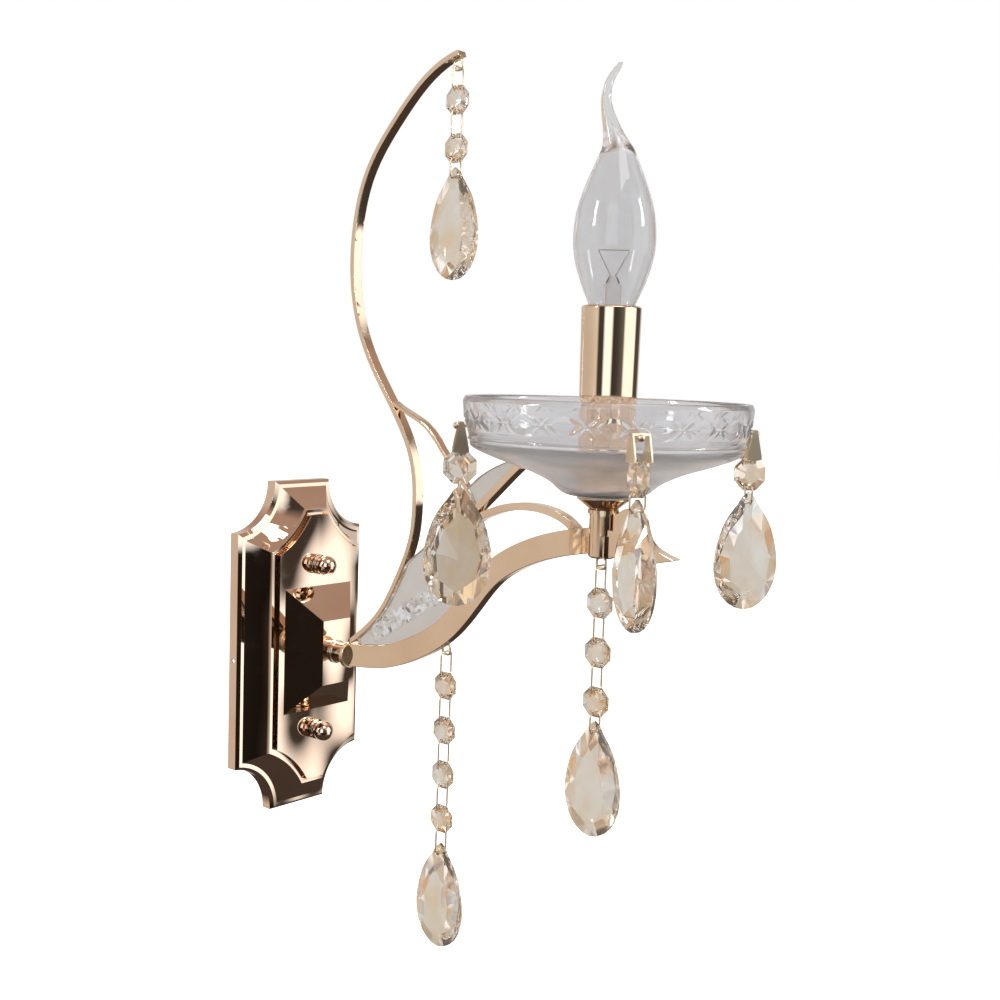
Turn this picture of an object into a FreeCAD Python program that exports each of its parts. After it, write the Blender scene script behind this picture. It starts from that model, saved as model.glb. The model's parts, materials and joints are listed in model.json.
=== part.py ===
import FreeCAD, Part
import math
import os
import Sketcher

# Candelabra wall light: a stamped backplate, a bent bar arm with scrolled straps, a cut glass
# bowl under one candle lamp, and six strings of crystals that swing.
# Origin: centre of the wall bracket on the wall. +Z is up, +Y goes into the wall.

SIZES = {
    # Stamped backplate: the rim that stands on the wall
    "plate_width": 84.0,
    "plate_height": 174.5,
    "plate_tab_width": 37.2,
    "plate_shoulder": 61.3,
    "plate_notch_radius": 25.5,
    "plate_rim_depth": 7.5,
    "plate_rim_round": 1.6,
    "plate_rim_land": 3.4,
    "plate_wall": 1.0,
    # Raised field of the backplate, its bead, groove and panel
    "field_width": 60.6,
    "field_height": 146.8,
    "field_tab_width": 15.2,
    "field_shoulder": 52.7,
    "field_notch_radius": 46.0,
    "field_rise": 9.1,
    "bead_width": 2.4,
    "bead_rise": 1.5,
    "groove_width": 1.8,
    "panel_rise": 3.7,
    "panel_slope": 0.4,
    # Pyramid that carries the arm
    "pyramid_width": 45.0,
    "pyramid_height": 65.6,
    "pyramid_top_width": 18.4,
    "pyramid_top_height": 33.6,
    "pyramid_rise": 14.7,
    "screw_hole_radius": 1.25,
    "screw_hole_depth": 2.9,
    "screw_hole_drop": 4.4,
    # Wall bracket and its fixings
    "bracket_width": 20.0,
    "bracket_end": 16.0,
    "bracket_thickness": 2.0,
    "wall_slot_pitch": 60.0,
    "wall_slot_length": 12.0,
    "wall_slot_width": 5.0,
    "cable_hole_radius": 6.0,
    "stud_pitch": 88.0,
    "stud_radius": 2.4,
    "stud_head_radius": 4.2,
    "stud_head_thickness": 1.4,
    "stud_reach": 24.5,
    "stud_clearance": 0.4,
    "thread_clearance": 0.06,
    "nut_foot_radius": 5.2,
    "nut_foot_height": 1.0,
    "nut_neck_radius": 4.2,
    "nut_neck_height": 1.4,
    "nut_ball_radius": 5.2,
    "nut_seat_gap": 0.3,
    "terminal_width": 16.0,
    "terminal_height": 13.0,
    "terminal_depth": 11.0,
    "terminal_drop": 15.5,
    "terminal_bore_radius": 1.5,
    "earth_head_radius": 3.6,
    "earth_head_height": 2.6,
    "earth_shank_radius": 1.9,
    "earth_rise": 17.0,
    # Boss and hollow screw that join the arm to the backplate
    "nipple_radius": 4.9,
    "nipple_bore_radius": 3.6,
    "nipple_inner_reach": 9.0,
    "nipple_engagement": 6.0,
    "locknut_radius": 8.0,
    "locknut_thickness": 3.0,
    "boss_radius": 6.0,
    "boss_neck_radius": 5.2,
    "boss_length": 8.9,
    "flange_radius": 6.7,
    "flange_thickness": 2.5,
    "socket_clearance": 0.05,
    # Bent bar arm and straps
    "arm_reach": 202.5,
    "arm_rise": 75.9,
    "bar_height": 11.5,
    "bar_width": 5.4,
    "strap_thickness": 2.6,
    "inner_thickness": 1.8,
    "inner_width": 4.6,
    "brace_thickness": 3.5,
    "scroll_height": 293.5,
    "leaf_thickness": 4.0,
    "blade_clearance": 2.3,
    "fin_reach": 39.6,
    "fin_tip_drop": 3.6,
    "fin_crest": 15.6,
    "fin_gap": 0.3,
    # Rings brazed to the arm, the scroll and the pillar
    "ring_radius": 2.4,
    "ring_corner_radius": 1.6,
    "ring_wire_radius": 0.6,
    "ring_sink": 0.5,
    # Pillar at the end of the arm
    "pillar_radius": 6.1,
    "pillar_bottom": 69.0,
    "pillar_height": 21.0,
    "pillar_collar_radius": 6.9,
    "pillar_collar_height": 1.6,
    "window_width": 4.2,
    "window_height": 8.4,
    "window_depth": 0.9,
    "rod_radius": 4.9,
    "rod_bore_radius": 3.6,
    "rod_depth": 6.6,
    "rod_top": 111.8,
    # Cup seat, glass bowl and what clamps it
    "seat_radius": 11.8,
    "seat_height": 5.3,
    "gasket_thickness": 0.6,
    "bowl_radius": 62.4,
    "bowl_height": 41.5,
    "bowl_wall": 3.6,
    "bowl_band_taper": 3.0,
    "bowl_lip_round": 1.1,
    "bowl_bore_radius": 5.4,
    "bowl_hole_radius": 1.3,
    "washer_thickness": 1.2,
    "clamp_nut_flats": 14.0,
    "clamp_nut_thickness": 4.0,
    # Candle sleeve and lampholder
    "sleeve_top_radius": 12.9,
    "sleeve_foot_radius": 12.0,
    "sleeve_wall": 0.8,
    "sleeve_top": 177.3,
    "sleeve_lip": 1.4,
    "holder_radius": 10.4,
    "holder_bore_radius": 9.0,
    "holder_foot": 107.6,
    "holder_floor": 131.0,
    "holder_top": 166.0,
    "shell_radius": 7.9,
    "shell_wall": 0.4,
    "shell_height": 26.0,
    "shell_floor": 2.0,
    "contact_radius": 3.0,
    "contact_thickness": 0.8,
    # Bent tip candle lamp
    "cap_radius": 6.9,
    "cap_height": 24.5,
    "cap_bottom": 137.2,
    "cap_ridge_step": 2.8,
    "cap_thread_depth": 0.35,
    "cap_tip_radius": 2.5,
    "cap_tip_height": 2.2,
    "cap_seat_gap": 0.3,
    "glass_neck_radius": 6.5,
    "glass_radius": 17.6,
    "glass_wall": 0.9,
    "glass_height": 79.6,
    "tail_height": 37.0,
    "tail_bend": 6.4,
    "stem_radius": 3.8,
    "stem_height": 28.0,
    "lead_radius": 0.35,
    "lead_spread": 6.6,
    "lead_height": 11.0,
    "filament_radius": 0.3,
    # Crystals
    "octagon_size": 13.2,
    "bowl_octagon_size": 14.4,
    "octagon_thickness": 6.4,
    "octagon_edge": 1.4,
    "octagon_hole_inset": 1.9,
    "octagon_hole_radius": 0.9,
    "drop_length": 52.0,
    "drop_width": 29.4,
    "drop_thickness": 11.4,
    "drop_edge": 1.6,
    "drop_hole_inset": 4.6,
    "drop_hole_radius": 0.95,
    "link_wire_radius": 0.45,
    "link_width": 8.0,
    "link_corner_radius": 2.0,
    "link_ring_gap": 0.35,
    "string_pitch": 22.0,
    # Gap from each string's ring to its first crystal, and the gap over its drop
    "scroll_string_gap": 7.0,
    "scroll_drop_gap": 2.2,
    "arm_string_gap": 8.825,
    "arm_drop_gap": 5.8,
    "pillar_string_gap": 8.5,
    "pillar_drop_gap": 2.0,
    "bowl_drop_gap": 0.7,
    "front_string_lift": 1.9,
    # Hook and clip of each bowl string
    "left_string_gap": 0.5,
    "front_string_gap": 2.6,
    "right_string_gap": 1.9,
    "hook_pin_radius": 0.6,
    "hook_knob_radius": 1.5,
    "hook_head_radius": 2.2,
    "hook_head_thickness": 0.8,
    "hook_gap": 0.35,
    "knob_gap": 1.3,
    "clip_width": 8.4,
    "clip_height": 14.1,
    "clip_gauge": 0.8,
    "clip_foot_width": 6.6,
    "clip_head_width": 1.3,
    # One length by which every cutting tool passes what it cuts
    "overrun": 1.0,
}

# Centre line of the bar arm, as shares of its reach and its rise
ARM_LINE_SHARES = (
    (0.229, 0.003), (0.277, 0.017), (0.336, 0.038), (0.390, 0.076), (0.442, 0.130), (0.516, 0.232),
    (0.577, 0.357), (0.642, 0.552), (0.708, 0.738), (0.757, 0.821), (0.811, 0.888), (0.864, 0.937),
    (0.916, 0.972), (0.970, 1.000),
)
# Centre line of the tall strap, as shares of the arm's reach and the scroll's height
SCROLL_LINE_SHARES = (
    (0.231, 0.024), (0.298, 0.060), (0.332, 0.083), (0.361, 0.110), (0.379, 0.131), (0.406, 0.166),
    (0.438, 0.220), (0.448, 0.279), (0.440, 0.339), (0.383, 0.420), (0.312, 0.486), (0.256, 0.549),
    (0.218, 0.634), (0.215, 0.719), (0.257, 0.827), (0.352, 0.911), (0.472, 0.980), (0.550, 1.000),
)
# Centre line of the inner strap, on the same two sizes
INNER_LINE_SHARES = (
    (0.363, 0.446), (0.417, 0.429), (0.445, 0.421), (0.477, 0.409), (0.509, 0.389), (0.533, 0.370),
    (0.573, 0.343), (0.609, 0.316), (0.633, 0.288), (0.644, 0.261), (0.649, 0.232), (0.655, 0.198),
    (0.659, 0.160),
)
# Centre line of the arch between the inner strap and the pillar, on the arm's reach and rise
BRACE_LINE_SHARES = (
    (0.637, 1.022), (0.659, 1.058), (0.689, 1.092), (0.731, 1.129), (0.772, 1.148), (0.810, 1.153),
    (0.849, 1.144), (0.889, 1.116), (0.918, 1.076), (0.938, 1.025),
)
# Centre line of the rib beside the clear blade, as shares of the way from the inner strap to the
# under side of the bowl
RIB_LINE_SHARES = (
    (0.1623, 0.0000), (0.3117, 0.1534), (0.5779, 0.4318), (0.8571, 0.7301), (1.0130, 0.8864),
)
# Outline of the clear leaf between the two straps and the arm, on the arm's reach and rise
LEAF_UPPER_SHARES = (
    (0.262, 0.157), (0.298, 0.230), (0.332, 0.318), (0.379, 0.501), (0.432, 0.711), (0.474, 0.800),
    (0.510, 0.904), (0.553, 1.041), (0.593, 1.153), (0.612, 1.203),
)
LEAF_LOWER_SHARES = (
    (0.634, 1.105), (0.647, 0.949), (0.654, 0.738), (0.600, 0.461), (0.540, 0.296), (0.460, 0.162),
    (0.360, 0.069), (0.262, 0.040),
)
# Outline of the clear blade beside the rib, on the same way
BLADE_UPPER_SHARES = (
    (0.0000, 0.3949), (0.1039, 0.5028), (0.2987, 0.6733), (0.5519, 0.8324), (0.7987, 0.9460),
    (1.0000, 1.0000),
)
BLADE_LOWER_SHARES = (
    (1.0325, 0.9091), (0.8571, 0.7301), (0.5779, 0.4318), (0.3117, 0.1534), (0.1494, 0.0739),
)
# Where that way starts, on the arm's reach and rise, and ends, on its reach
WAY_START_SHARES = (0.612, 1.079)
WAY_END_SHARE = 0.766
# Upper edge of the pointed fin, as shares of its reach past the axis and its crest over the bar
FIN_EDGE_SHARES = (
    (0.200, 0.82), (0.300, 0.97), (0.420, 1.00), (0.520, 0.88), (0.576, 0.58), (0.650, 0.16),
    (0.790, -0.06),
)
# Half outline of a drop: depth as a share of its length, half width as a share of its half width
DROP_OUTLINE_SHARES = (
    (0.000, 0.12), (0.060, 0.20), (0.124, 0.37), (0.200, 0.57), (0.290, 0.75), (0.420, 0.90),
    (0.570, 1.00), (0.700, 0.97), (0.810, 0.84), (0.904, 0.62), (0.965, 0.34), (1.000, 0.10),
)
DROP_TABLE_SHARE = 0.46
DROP_CENTRE_SHARE = 0.60
OCTAGON_TABLE_SHARE = 0.52
# Side of a regular octagon against its width across flats
OCTAGON_SIDE_SHARE = math.tan(math.pi / 8)
# Outside of the lamp's glass: height as a share of the body below the tail, radius of the largest
GLASS_PROFILE_SHARES = (
    (0.05, 0.41), (0.11, 0.49), (0.20, 0.57), (0.32, 0.79), (0.44, 0.95), (0.56, 1.00), (0.70, 0.93),
    (0.84, 0.73), (1.00, 0.43),
)
# Tail sections: height as a share of the tail, radius of the largest, sideways bend
TAIL_SECTION_SHARES = (
    (0.00, 0.43, 0.00), (0.10, 0.345, 0.10), (0.24, 0.245, 0.38), (0.46, 0.158, 0.78),
    (0.62, 0.120, 0.92), (0.80, 0.105, 0.72), (0.94, 0.088, 0.27), (1.00, 0.050, 0.06),
)
# The bowl's band and where its holes are below the rim, as shares of the bowl's height
BOWL_BAND_SHARE = 0.43373
BOWL_HOLE_SHARE = 0.310843
# Radius of the bowl's foot and of the washer in it, as a share of the bowl's
BOWL_FOOT_SHARE = 0.22436
# Under side of the bowl: radius as a share of the bowl's, height as a share of the bowl's height
BOWL_UNDER_SHARES = (
    (0.272, 0.014), (0.320, 0.055), (0.400, 0.150), (0.560, 0.262), (0.770, 0.367), (0.925, 0.470),
)
# The same side on to the foot of the band
BOWL_SIDE_SHARES = BOWL_UNDER_SHARES + ((1.0, 1 - BOWL_BAND_SHARE),)
# Where on the arm's reach two of the rings are brazed
SCROLL_RING_SHARE = 0.54025
ARM_RING_SHARE = 0.55654
# How far below a strap's or the bar's centre line a ring is brazed, and other proportions
RING_STRAP_SHARE = 0.64
RING_BAR_SHARE = 0.66
FIELD_END_SHARE = 0.75
FIN_HEEL_SHARE = 0.7
PRONG_SHARE = 0.6

# Degrees: the bowl's turn, where each string hangs about it, each string's twist, the tail's turn
BOWL_TURN = 47.5
STRING_HOLE_ANGLES = {"left": BOWL_TURN + 90, "front": BOWL_TURN + 180, "right": BOWL_TURN + 270}
STRING_TWISTS = {"left": 0.0, "front": 20.0, "right": 8.0}
TAIL_TURN = -54.0
WINDOW_TURN = 45.0
BOWL_HOLE_COUNT = 4
WINDOW_COUNT = 4
TERMINAL_POLES = 3
SCROLL_OCTAGONS = 2
ARM_OCTAGONS = 4
PILLAR_OCTAGONS = 3
CAP_THREADS = 5
NUT_SIDES = 6
# Two lengths closer than this are taken as the same
SAME = 1e-6

doc = FreeCAD.newDocument("candelabra_wall_light")
sheet = doc.addObject("Spreadsheet::Sheet", "Sizes")
nodes = []


class Size:
    """A length of the model with the sheet expression that it comes from."""

    def __init__(self, value, text):
        self.value = value
        self.text = text

    def __add__(self, other):
        other = as_size(other)
        return Size(self.value + other.value, f"({self.text} + {other.text})")

    def __sub__(self, other):
        other = as_size(other)
        return Size(self.value - other.value, f"({self.text} - {other.text})")

    def __mul__(self, factor):
        factor = as_size(factor)
        return Size(self.value * factor.value, f"({self.text} * {factor.text})")

    def __truediv__(self, divisor):
        divisor = as_size(divisor)
        return Size(self.value / divisor.value, f"({self.text} / {divisor.text})")

    def __neg__(self):
        return Size(-self.value, f"(-{self.text})")


def as_size(number):
    """Turn a plain number into a Size and leave a Size as it is."""
    if isinstance(number, Size):
        return number
    return Size(float(number), f"{float(number):.9f}")


ZERO = as_size(0)


class SizeBook:
    """The driving sizes by name, each tied to its cell of the sheet."""

    def __init__(self, sizes):
        for row, (name, value) in enumerate(sizes.items(), start=1):
            sheet.set(f"A{row}", name)
            sheet.set(f"B{row}", str(value))
            sheet.setAlias(f"B{row}", name)
            setattr(self, name, Size(value, f"Sizes.{name}"))


S = SizeBook(SIZES)
doc.recompute()


def root_of(size):
    """Square root of a Size."""
    return Size(math.sqrt(size.value), f"sqrt({size.text})")


def vector(x, y, z=ZERO):
    """A FreeCAD vector from three Sizes."""
    return FreeCAD.Vector(as_size(x).value, as_size(y).value, as_size(z).value)


def keep(node, label):
    """Name an object as one of the light's pieces and list it for export."""
    node.Label = label
    nodes.append(node)
    return node


def place(thing, x=ZERO, y=ZERO, z=ZERO, yaw=0.0):
    """Set an object's place from Sizes and turn it about Z."""
    turn = FreeCAD.Rotation(FreeCAD.Vector(0, 0, 1), yaw)
    thing.Placement = FreeCAD.Placement(vector(x, y, z), turn)
    for axis, size in (("x", x), ("y", y), ("z", z)):
        thing.setExpression(f"Placement.Base.{axis}", as_size(size).text)
    return thing


def new_body(name):
    """An empty PartDesign body."""
    return doc.addObject("PartDesign::Body", name)


def new_sketch(body, role, offset=ZERO):
    """A sketch on one of the body's origin planes, moved along its normal."""
    sketch = body.newObject("Sketcher::SketchObject", f"{body.Name}_sketch")
    plane = next(item for item in body.Origin.OriginFeatures if item.Role == role)
    sketch.AttachmentSupport = [(plane, "")]
    sketch.MapMode = "FlatFace"
    sketch.AttachmentOffset = FreeCAD.Placement(vector(ZERO, ZERO, offset), FreeCAD.Rotation())
    sketch.setExpression("AttachmentOffset.Base.z", as_size(offset).text)
    return sketch


def pin_point(sketch, geometry, position, x, y):
    """Hold one point of a sketch at a place given by two Sizes."""
    for kind, size in (("DistanceX", as_size(x)), ("DistanceY", as_size(y))):
        number = sketch.addConstraint(Sketcher.Constraint(kind, -1, 1, geometry, position, size.value))
        sketch.setExpression(f"Constraints[{number}]", size.text)


def draw_outline(sketch, corners, arcs=None):
    """Draw a closed outline. arcs maps an edge's number to its radius and the side it bulges to."""
    arcs = arcs or {}
    first = sketch.GeometryCount
    starts = []
    for edge, corner in enumerate(corners):
        here = vector(*corner)
        there = vector(*corners[(edge + 1) % len(corners)])
        if edge in arcs:
            radius, side = arcs[edge]
            chord = there - here
            rise = radius.value - math.sqrt(radius.value ** 2 - (chord.Length / 2) ** 2)
            across = FreeCAD.Vector(-chord.y, chord.x, 0).normalize()
            middle = (here + there) / 2 + across * (side * rise)
            number = sketch.addGeometry(Part.Arc(here, middle, there))
            starts.append(1 if side < 0 else 2)
        else:
            number = sketch.addGeometry(Part.LineSegment(here, there))
            starts.append(1)
    for edge, corner in enumerate(corners):
        number = first + edge
        after = (edge + 1) % len(corners)
        end_position = 3 - starts[edge]
        joint = Sketcher.Constraint("Coincident", number, end_position, first + after, starts[after])
        sketch.addConstraint(joint)
        pin_point(sketch, number, starts[edge], *corner)
        if edge in arcs:
            hold_arc(sketch, number, arcs[edge][0], corner, corners[after])


def hold_arc(sketch, number, radius, here, there):
    """Hold an arc by its radius, or a half circle by the height of its centre."""
    if abs((vector(*there) - vector(*here)).Length / 2 - radius.value) < SAME:
        size = as_size(here[1])
        held = sketch.addConstraint(Sketcher.Constraint("DistanceY", -1, 1, number, 3, size.value))
    else:
        size = radius
        held = sketch.addConstraint(Sketcher.Constraint("Radius", number, size.value))
    sketch.setExpression(f"Constraints[{held}]", size.text)


def draw_circle(sketch, radius, x=ZERO, y=ZERO):
    """Draw a circle held by its centre and radius."""
    number = sketch.addGeometry(Part.Circle(vector(x, y), FreeCAD.Vector(0, 0, 1), radius.value))
    pin_point(sketch, number, 3, x, y)
    held = sketch.addConstraint(Sketcher.Constraint("Radius", number, radius.value))
    sketch.setExpression(f"Constraints[{held}]", radius.text)


def box_corners(x_low, x_high, y_low, y_high):
    """The four corners of a rectangle."""
    return [(x_low, y_low), (x_high, y_low), (x_high, y_high), (x_low, y_high)]


def extrude(body, sketch, length, kind="Pad", middle=False, backwards=False):
    """Pad or pocket a sketch by a Size."""
    feature = body.newObject(f"PartDesign::{kind}", f"{body.Name}_{kind.lower()}")
    feature.Profile = sketch
    feature.SideType = "Symmetric" if middle else "One side"
    feature.Reversed = backwards
    feature.Length = length.value
    feature.setExpression("Length", length.text)
    return feature


def cut_through(body, sketch, length, middle=False, backwards=False):
    """Pocket a sketch and make sure that it took something away."""
    doc.recompute()
    before = body.Shape.Volume
    feature = extrude(body, sketch, length, "Pocket", middle, backwards)
    doc.recompute()
    if not body.Shape.Volume < before:
        raise RuntimeError(f"{feature.Name} cuts nothing")
    return feature


def revolve(body, sketch, kind="Revolution"):
    """Turn a sketch fully about its vertical axis."""
    feature = body.newObject(f"PartDesign::{kind}", f"{body.Name}_{kind.lower()}")
    feature.Profile = sketch
    feature.ReferenceAxis = (sketch, ["V_Axis"])
    feature.Angle = 360
    return feature


def loft(body, sketches, kind="AdditiveLoft", ruled=True):
    """Loft through sketches of the same number of edges."""
    feature = body.newObject(f"PartDesign::{kind}", f"{body.Name}_{kind.lower()}")
    feature.Profile = sketches[0]
    feature.Sections = list(sketches[1:])
    feature.Ruled = ruled
    return feature


def turned_body(name, corners, arcs=None, plane="XZ_Plane"):
    """A body turned about the upright axis from a half section."""
    body = new_body(name)
    sketch = new_sketch(body, plane)
    draw_outline(sketch, corners, arcs)
    revolve(body, sketch)
    return body


def cut_away(name, base, *tools):
    """Cope one solid to others: a Part cut for each tool, the last of which is the piece."""
    result = base
    for number, tool in enumerate(tools, start=1):
        cut = doc.addObject("Part::Cut", f"{name}_cope{number}")
        cut.Base = result
        cut.Tool = tool
        result = cut
    return result


def share_points(shares, across, up):
    """Places in the arm's plane from pairs of shares of two Sizes."""
    return [vector(-(across * y_share), up * z_share) for y_share, z_share in shares]


def way_points(shares):
    """Places on the way from the inner strap to the bowl's under side, from pairs of shares."""
    near = S.arm_reach * WAY_START_SHARES[0]
    far = S.arm_reach * WAY_END_SHARE
    low = S.arm_rise * WAY_START_SHARES[1]
    under = line_height_at(BOWL_SIDE_SHARES, S.bowl_radius, S.bowl_height, S.arm_reach - far)
    across = far - near
    up = bowl_foot + under - S.blade_clearance - low
    return [vector(-(near + across * y_share), low + up * z_share) for y_share, z_share in shares]


def side_of_line(points, offset):
    """The points moved square to their line, by a plain distance."""
    moved = []
    for number, point in enumerate(points):
        before = points[max(number - 1, 0)]
        after = points[min(number + 1, len(points) - 1)]
        along = (after - before).normalize()
        moved.append(point + FreeCAD.Vector(-along.y, along.x, 0) * offset)
    return moved


def smooth_edge(points):
    """A smooth curve through points of the arm's plane."""
    curve = Part.BSplineCurve()
    curve.interpolate(points)
    return curve


def strap_blank(name, points, thickness, width):
    """A flat strap whose centre line runs smoothly through the points, in the arm's plane."""
    body = new_body(name)
    sketch = new_sketch(body, "YZ_Plane")
    left = side_of_line(points, thickness.value / 2)
    right = side_of_line(points, -thickness.value / 2)
    sketch.addGeometry(smooth_edge(left))
    sketch.addGeometry(Part.LineSegment(left[-1], right[-1]))
    sketch.addGeometry(smooth_edge(right[::-1]))
    sketch.addGeometry(Part.LineSegment(right[0], left[0]))
    extrude(body, sketch, width, middle=True)
    return body


def notched_corners(width, height, tab, shoulder):
    """Corners of the backplate's long outline with a tab at each end."""
    right = width / 2
    top = height / 2
    side = tab / 2
    return [(right, -shoulder), (right, shoulder), (side, top), (-side, top), (-right, shoulder),
            (-right, -shoulder), (-side, -top), (side, -top)]


def notched_sketch(body, offset, width, height, tab, shoulder, notch):
    """A sketch of the backplate's outline with its four hollow corners."""
    sketch = new_sketch(body, "XZ_Plane", offset)
    corners = notched_corners(width, height, tab, shoulder)
    draw_outline(sketch, corners, {edge: (notch, 1) for edge in (1, 3, 5, 7)})
    return sketch


def rim_sketch(body, offset, inset):
    """The rim's outline, moved in by an inset."""
    both = inset * 2
    return notched_sketch(body, offset, S.plate_width - both, S.plate_height - both,
                          S.plate_tab_width - both, S.plate_shoulder - inset, S.plate_notch_radius + inset)


def field_sketch(body, offset, inset):
    """The raised field's outline, moved in by an inset."""
    both = inset * 2
    return notched_sketch(body, offset, S.field_width - both, S.field_height - both * FIELD_END_SHARE,
                          S.field_tab_width - inset, S.field_shoulder - inset / 2,
                          S.field_notch_radius + inset)


def pyramid_sketch(body, offset, width, height):
    """One rectangle of the pyramid."""
    sketch = new_sketch(body, "XZ_Plane", offset)
    draw_outline(sketch, box_corners(-(width / 2), width / 2, -(height / 2), height / 2))
    return sketch


# Heights of the backplate's steps above the wall
field_level = S.plate_rim_depth + S.field_rise
panel_level = field_level + S.panel_rise
pyramid_level = panel_level + S.pyramid_rise


def build_backplate():
    """The stamped cover: rim, steep side, bead, groove, panel and pyramid, hollow behind."""
    body = new_body("backplate_body")
    rim_start = S.plate_rim_depth - S.plate_rim_round
    extrude(body, rim_sketch(body, ZERO, ZERO), rim_start)
    loft(body, [rim_sketch(body, rim_start, ZERO), rim_sketch(body, S.plate_rim_depth, S.plate_rim_round)])
    loft(body, [rim_sketch(body, S.plate_rim_depth, S.plate_rim_land), field_sketch(body, field_level, ZERO)])
    bead_top = field_level + S.bead_rise
    loft(body, [field_sketch(body, field_level, ZERO), field_sketch(body, bead_top, S.bead_width / 3)])
    hollow = field_sketch(body, bead_top, S.bead_width)
    cut_through(body, hollow, S.bead_rise)
    panel_inset = S.bead_width + S.groove_width
    loft(body, [field_sketch(body, field_level, panel_inset - S.panel_slope),
                field_sketch(body, panel_level, panel_inset)])
    loft(body, [pyramid_sketch(body, panel_level, S.pyramid_width, S.pyramid_height),
                pyramid_sketch(body, pyramid_level, S.pyramid_top_width, S.pyramid_top_height)])
    wall = S.plate_wall
    cut_through(body, rim_sketch(body, ZERO, wall), S.plate_rim_depth - wall, backwards=True)
    loft(body, [rim_sketch(body, S.plate_rim_depth - wall, S.plate_rim_land + wall),
                field_sketch(body, field_level - wall, wall)], "SubtractiveLoft")
    loft(body, [pyramid_sketch(body, field_level - wall, S.pyramid_width - wall, S.pyramid_height - wall),
                pyramid_sketch(body, pyramid_level - wall * 2, S.pyramid_top_width - wall * 2,
                               S.pyramid_top_height - wall * 2)], "SubtractiveLoft")
    screw_hole = new_sketch(body, "YZ_Plane", -(S.plate_width / 2) - S.overrun)
    draw_circle(screw_hole, S.screw_hole_radius, -S.screw_hole_depth, -S.screw_hole_drop)
    cut_through(body, screw_hole, S.plate_wall + S.overrun * 2, backwards=True)
    bores = new_sketch(body, "XZ_Plane", ZERO)
    draw_circle(bores, S.nipple_radius + S.socket_clearance)
    for side in (-1, 1):
        draw_circle(bores, S.stud_radius + S.stud_clearance, ZERO, S.stud_pitch / 2 * side)
    cut_through(body, bores, pyramid_level + S.overrun, backwards=True)
    return keep(body, "backplate")


def slot_outline(sketch, centre, length, width):
    """An upright slot with round ends."""
    half = width / 2
    reach = length / 2 - half
    low = centre - reach
    high = centre + reach
    corners = [(half, low), (half, high), (-half, high), (-half, low)]
    draw_outline(sketch, corners, {1: (half, -1), 3: (half, -1)})


def build_wall_bracket():
    """The flat bar that is screwed to the wall."""
    body = new_body("wall_bracket_body")
    sketch = new_sketch(body, "XZ_Plane")
    half = S.bracket_width / 2
    top = S.stud_pitch / 2 + S.bracket_end
    draw_outline(sketch, box_corners(-half, half, -top, top))
    extrude(body, sketch, S.bracket_thickness)
    holes = new_sketch(body, "XZ_Plane")
    draw_circle(holes, S.cable_hole_radius)
    draw_circle(holes, S.earth_shank_radius, ZERO, S.earth_rise)
    for side in (-1, 1):
        draw_circle(holes, S.stud_radius, ZERO, S.stud_pitch / 2 * side)
        slot_outline(holes, S.wall_slot_pitch / 2 * side, S.wall_slot_length, S.wall_slot_width)
    cut_through(body, holes, S.bracket_thickness, backwards=True)
    return keep(body, "wall_bracket")


def turned_forward(name, corners, height, arcs=None):
    """A body turned about an axis that points out of the wall, at a height on it."""
    body = new_body(name)
    sketch = new_sketch(body, "XY_Plane")
    draw_outline(sketch, corners, arcs)
    revolve(body, sketch)
    return place(body, ZERO, ZERO, height)


def build_stud(label, side):
    """A headed stud that stands out of the bracket through the backplate."""
    front = S.stud_head_thickness + S.bracket_thickness
    end = -S.bracket_thickness - S.stud_reach
    face = -S.bracket_thickness
    corners = [(ZERO, end), (S.stud_radius, end), (S.stud_radius, -front), (S.stud_head_radius, -front),
               (S.stud_head_radius, face), (S.stud_radius, face), (S.stud_radius, ZERO), (ZERO, ZERO)]
    return keep(turned_forward(f"{label}_body", corners, S.stud_pitch / 2 * side), label)


def build_cap_nut(label, side):
    """A round headed nut that holds the backplate on its stud."""
    foot = -panel_level - S.nut_seat_gap
    neck_start = foot - S.nut_foot_height
    neck_end = neck_start - S.nut_neck_height
    bore = S.stud_radius + S.thread_clearance
    ball_chord = root_of(S.nut_ball_radius * S.nut_ball_radius - S.nut_neck_radius * S.nut_neck_radius)
    ball_centre = neck_end - ball_chord
    ball_top = ball_centre - S.nut_ball_radius
    bore_end = -S.bracket_thickness - S.stud_reach - S.overrun
    corners = [(bore, foot), (bore, bore_end), (ZERO, bore_end), (ZERO, ball_top),
               (S.nut_ball_radius, ball_centre), (S.nut_neck_radius, neck_end),
               (S.nut_neck_radius, neck_start), (S.nut_foot_radius, foot - S.nut_foot_height / 2),
               (S.nut_foot_radius, foot)]
    arcs = {3: (S.nut_ball_radius, -1), 4: (S.nut_ball_radius, -1)}
    return keep(turned_forward(f"{label}_body", corners, S.stud_pitch / 2 * side, arcs), label)


def build_terminal_block():
    """The connector block on the bracket, with a bore for each conductor."""
    body = new_body("terminal_block_body")
    sketch = new_sketch(body, "XZ_Plane", S.bracket_thickness)
    half = S.terminal_width / 2
    middle = -S.terminal_drop
    rise = S.terminal_height / 2
    draw_outline(sketch, box_corners(-half, half, middle - rise, middle + rise))
    extrude(body, sketch, S.terminal_depth)
    bores = new_sketch(body, "XY_Plane", middle)
    pitch = S.terminal_width / TERMINAL_POLES
    depth = -(S.bracket_thickness + S.terminal_depth / 2)
    for pole in range(TERMINAL_POLES):
        draw_circle(bores, S.terminal_bore_radius, pitch * (pole - (TERMINAL_POLES - 1) / 2), depth)
    cut_through(body, bores, S.terminal_height + S.overrun, middle=True)
    return keep(body, "terminal_block")


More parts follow.
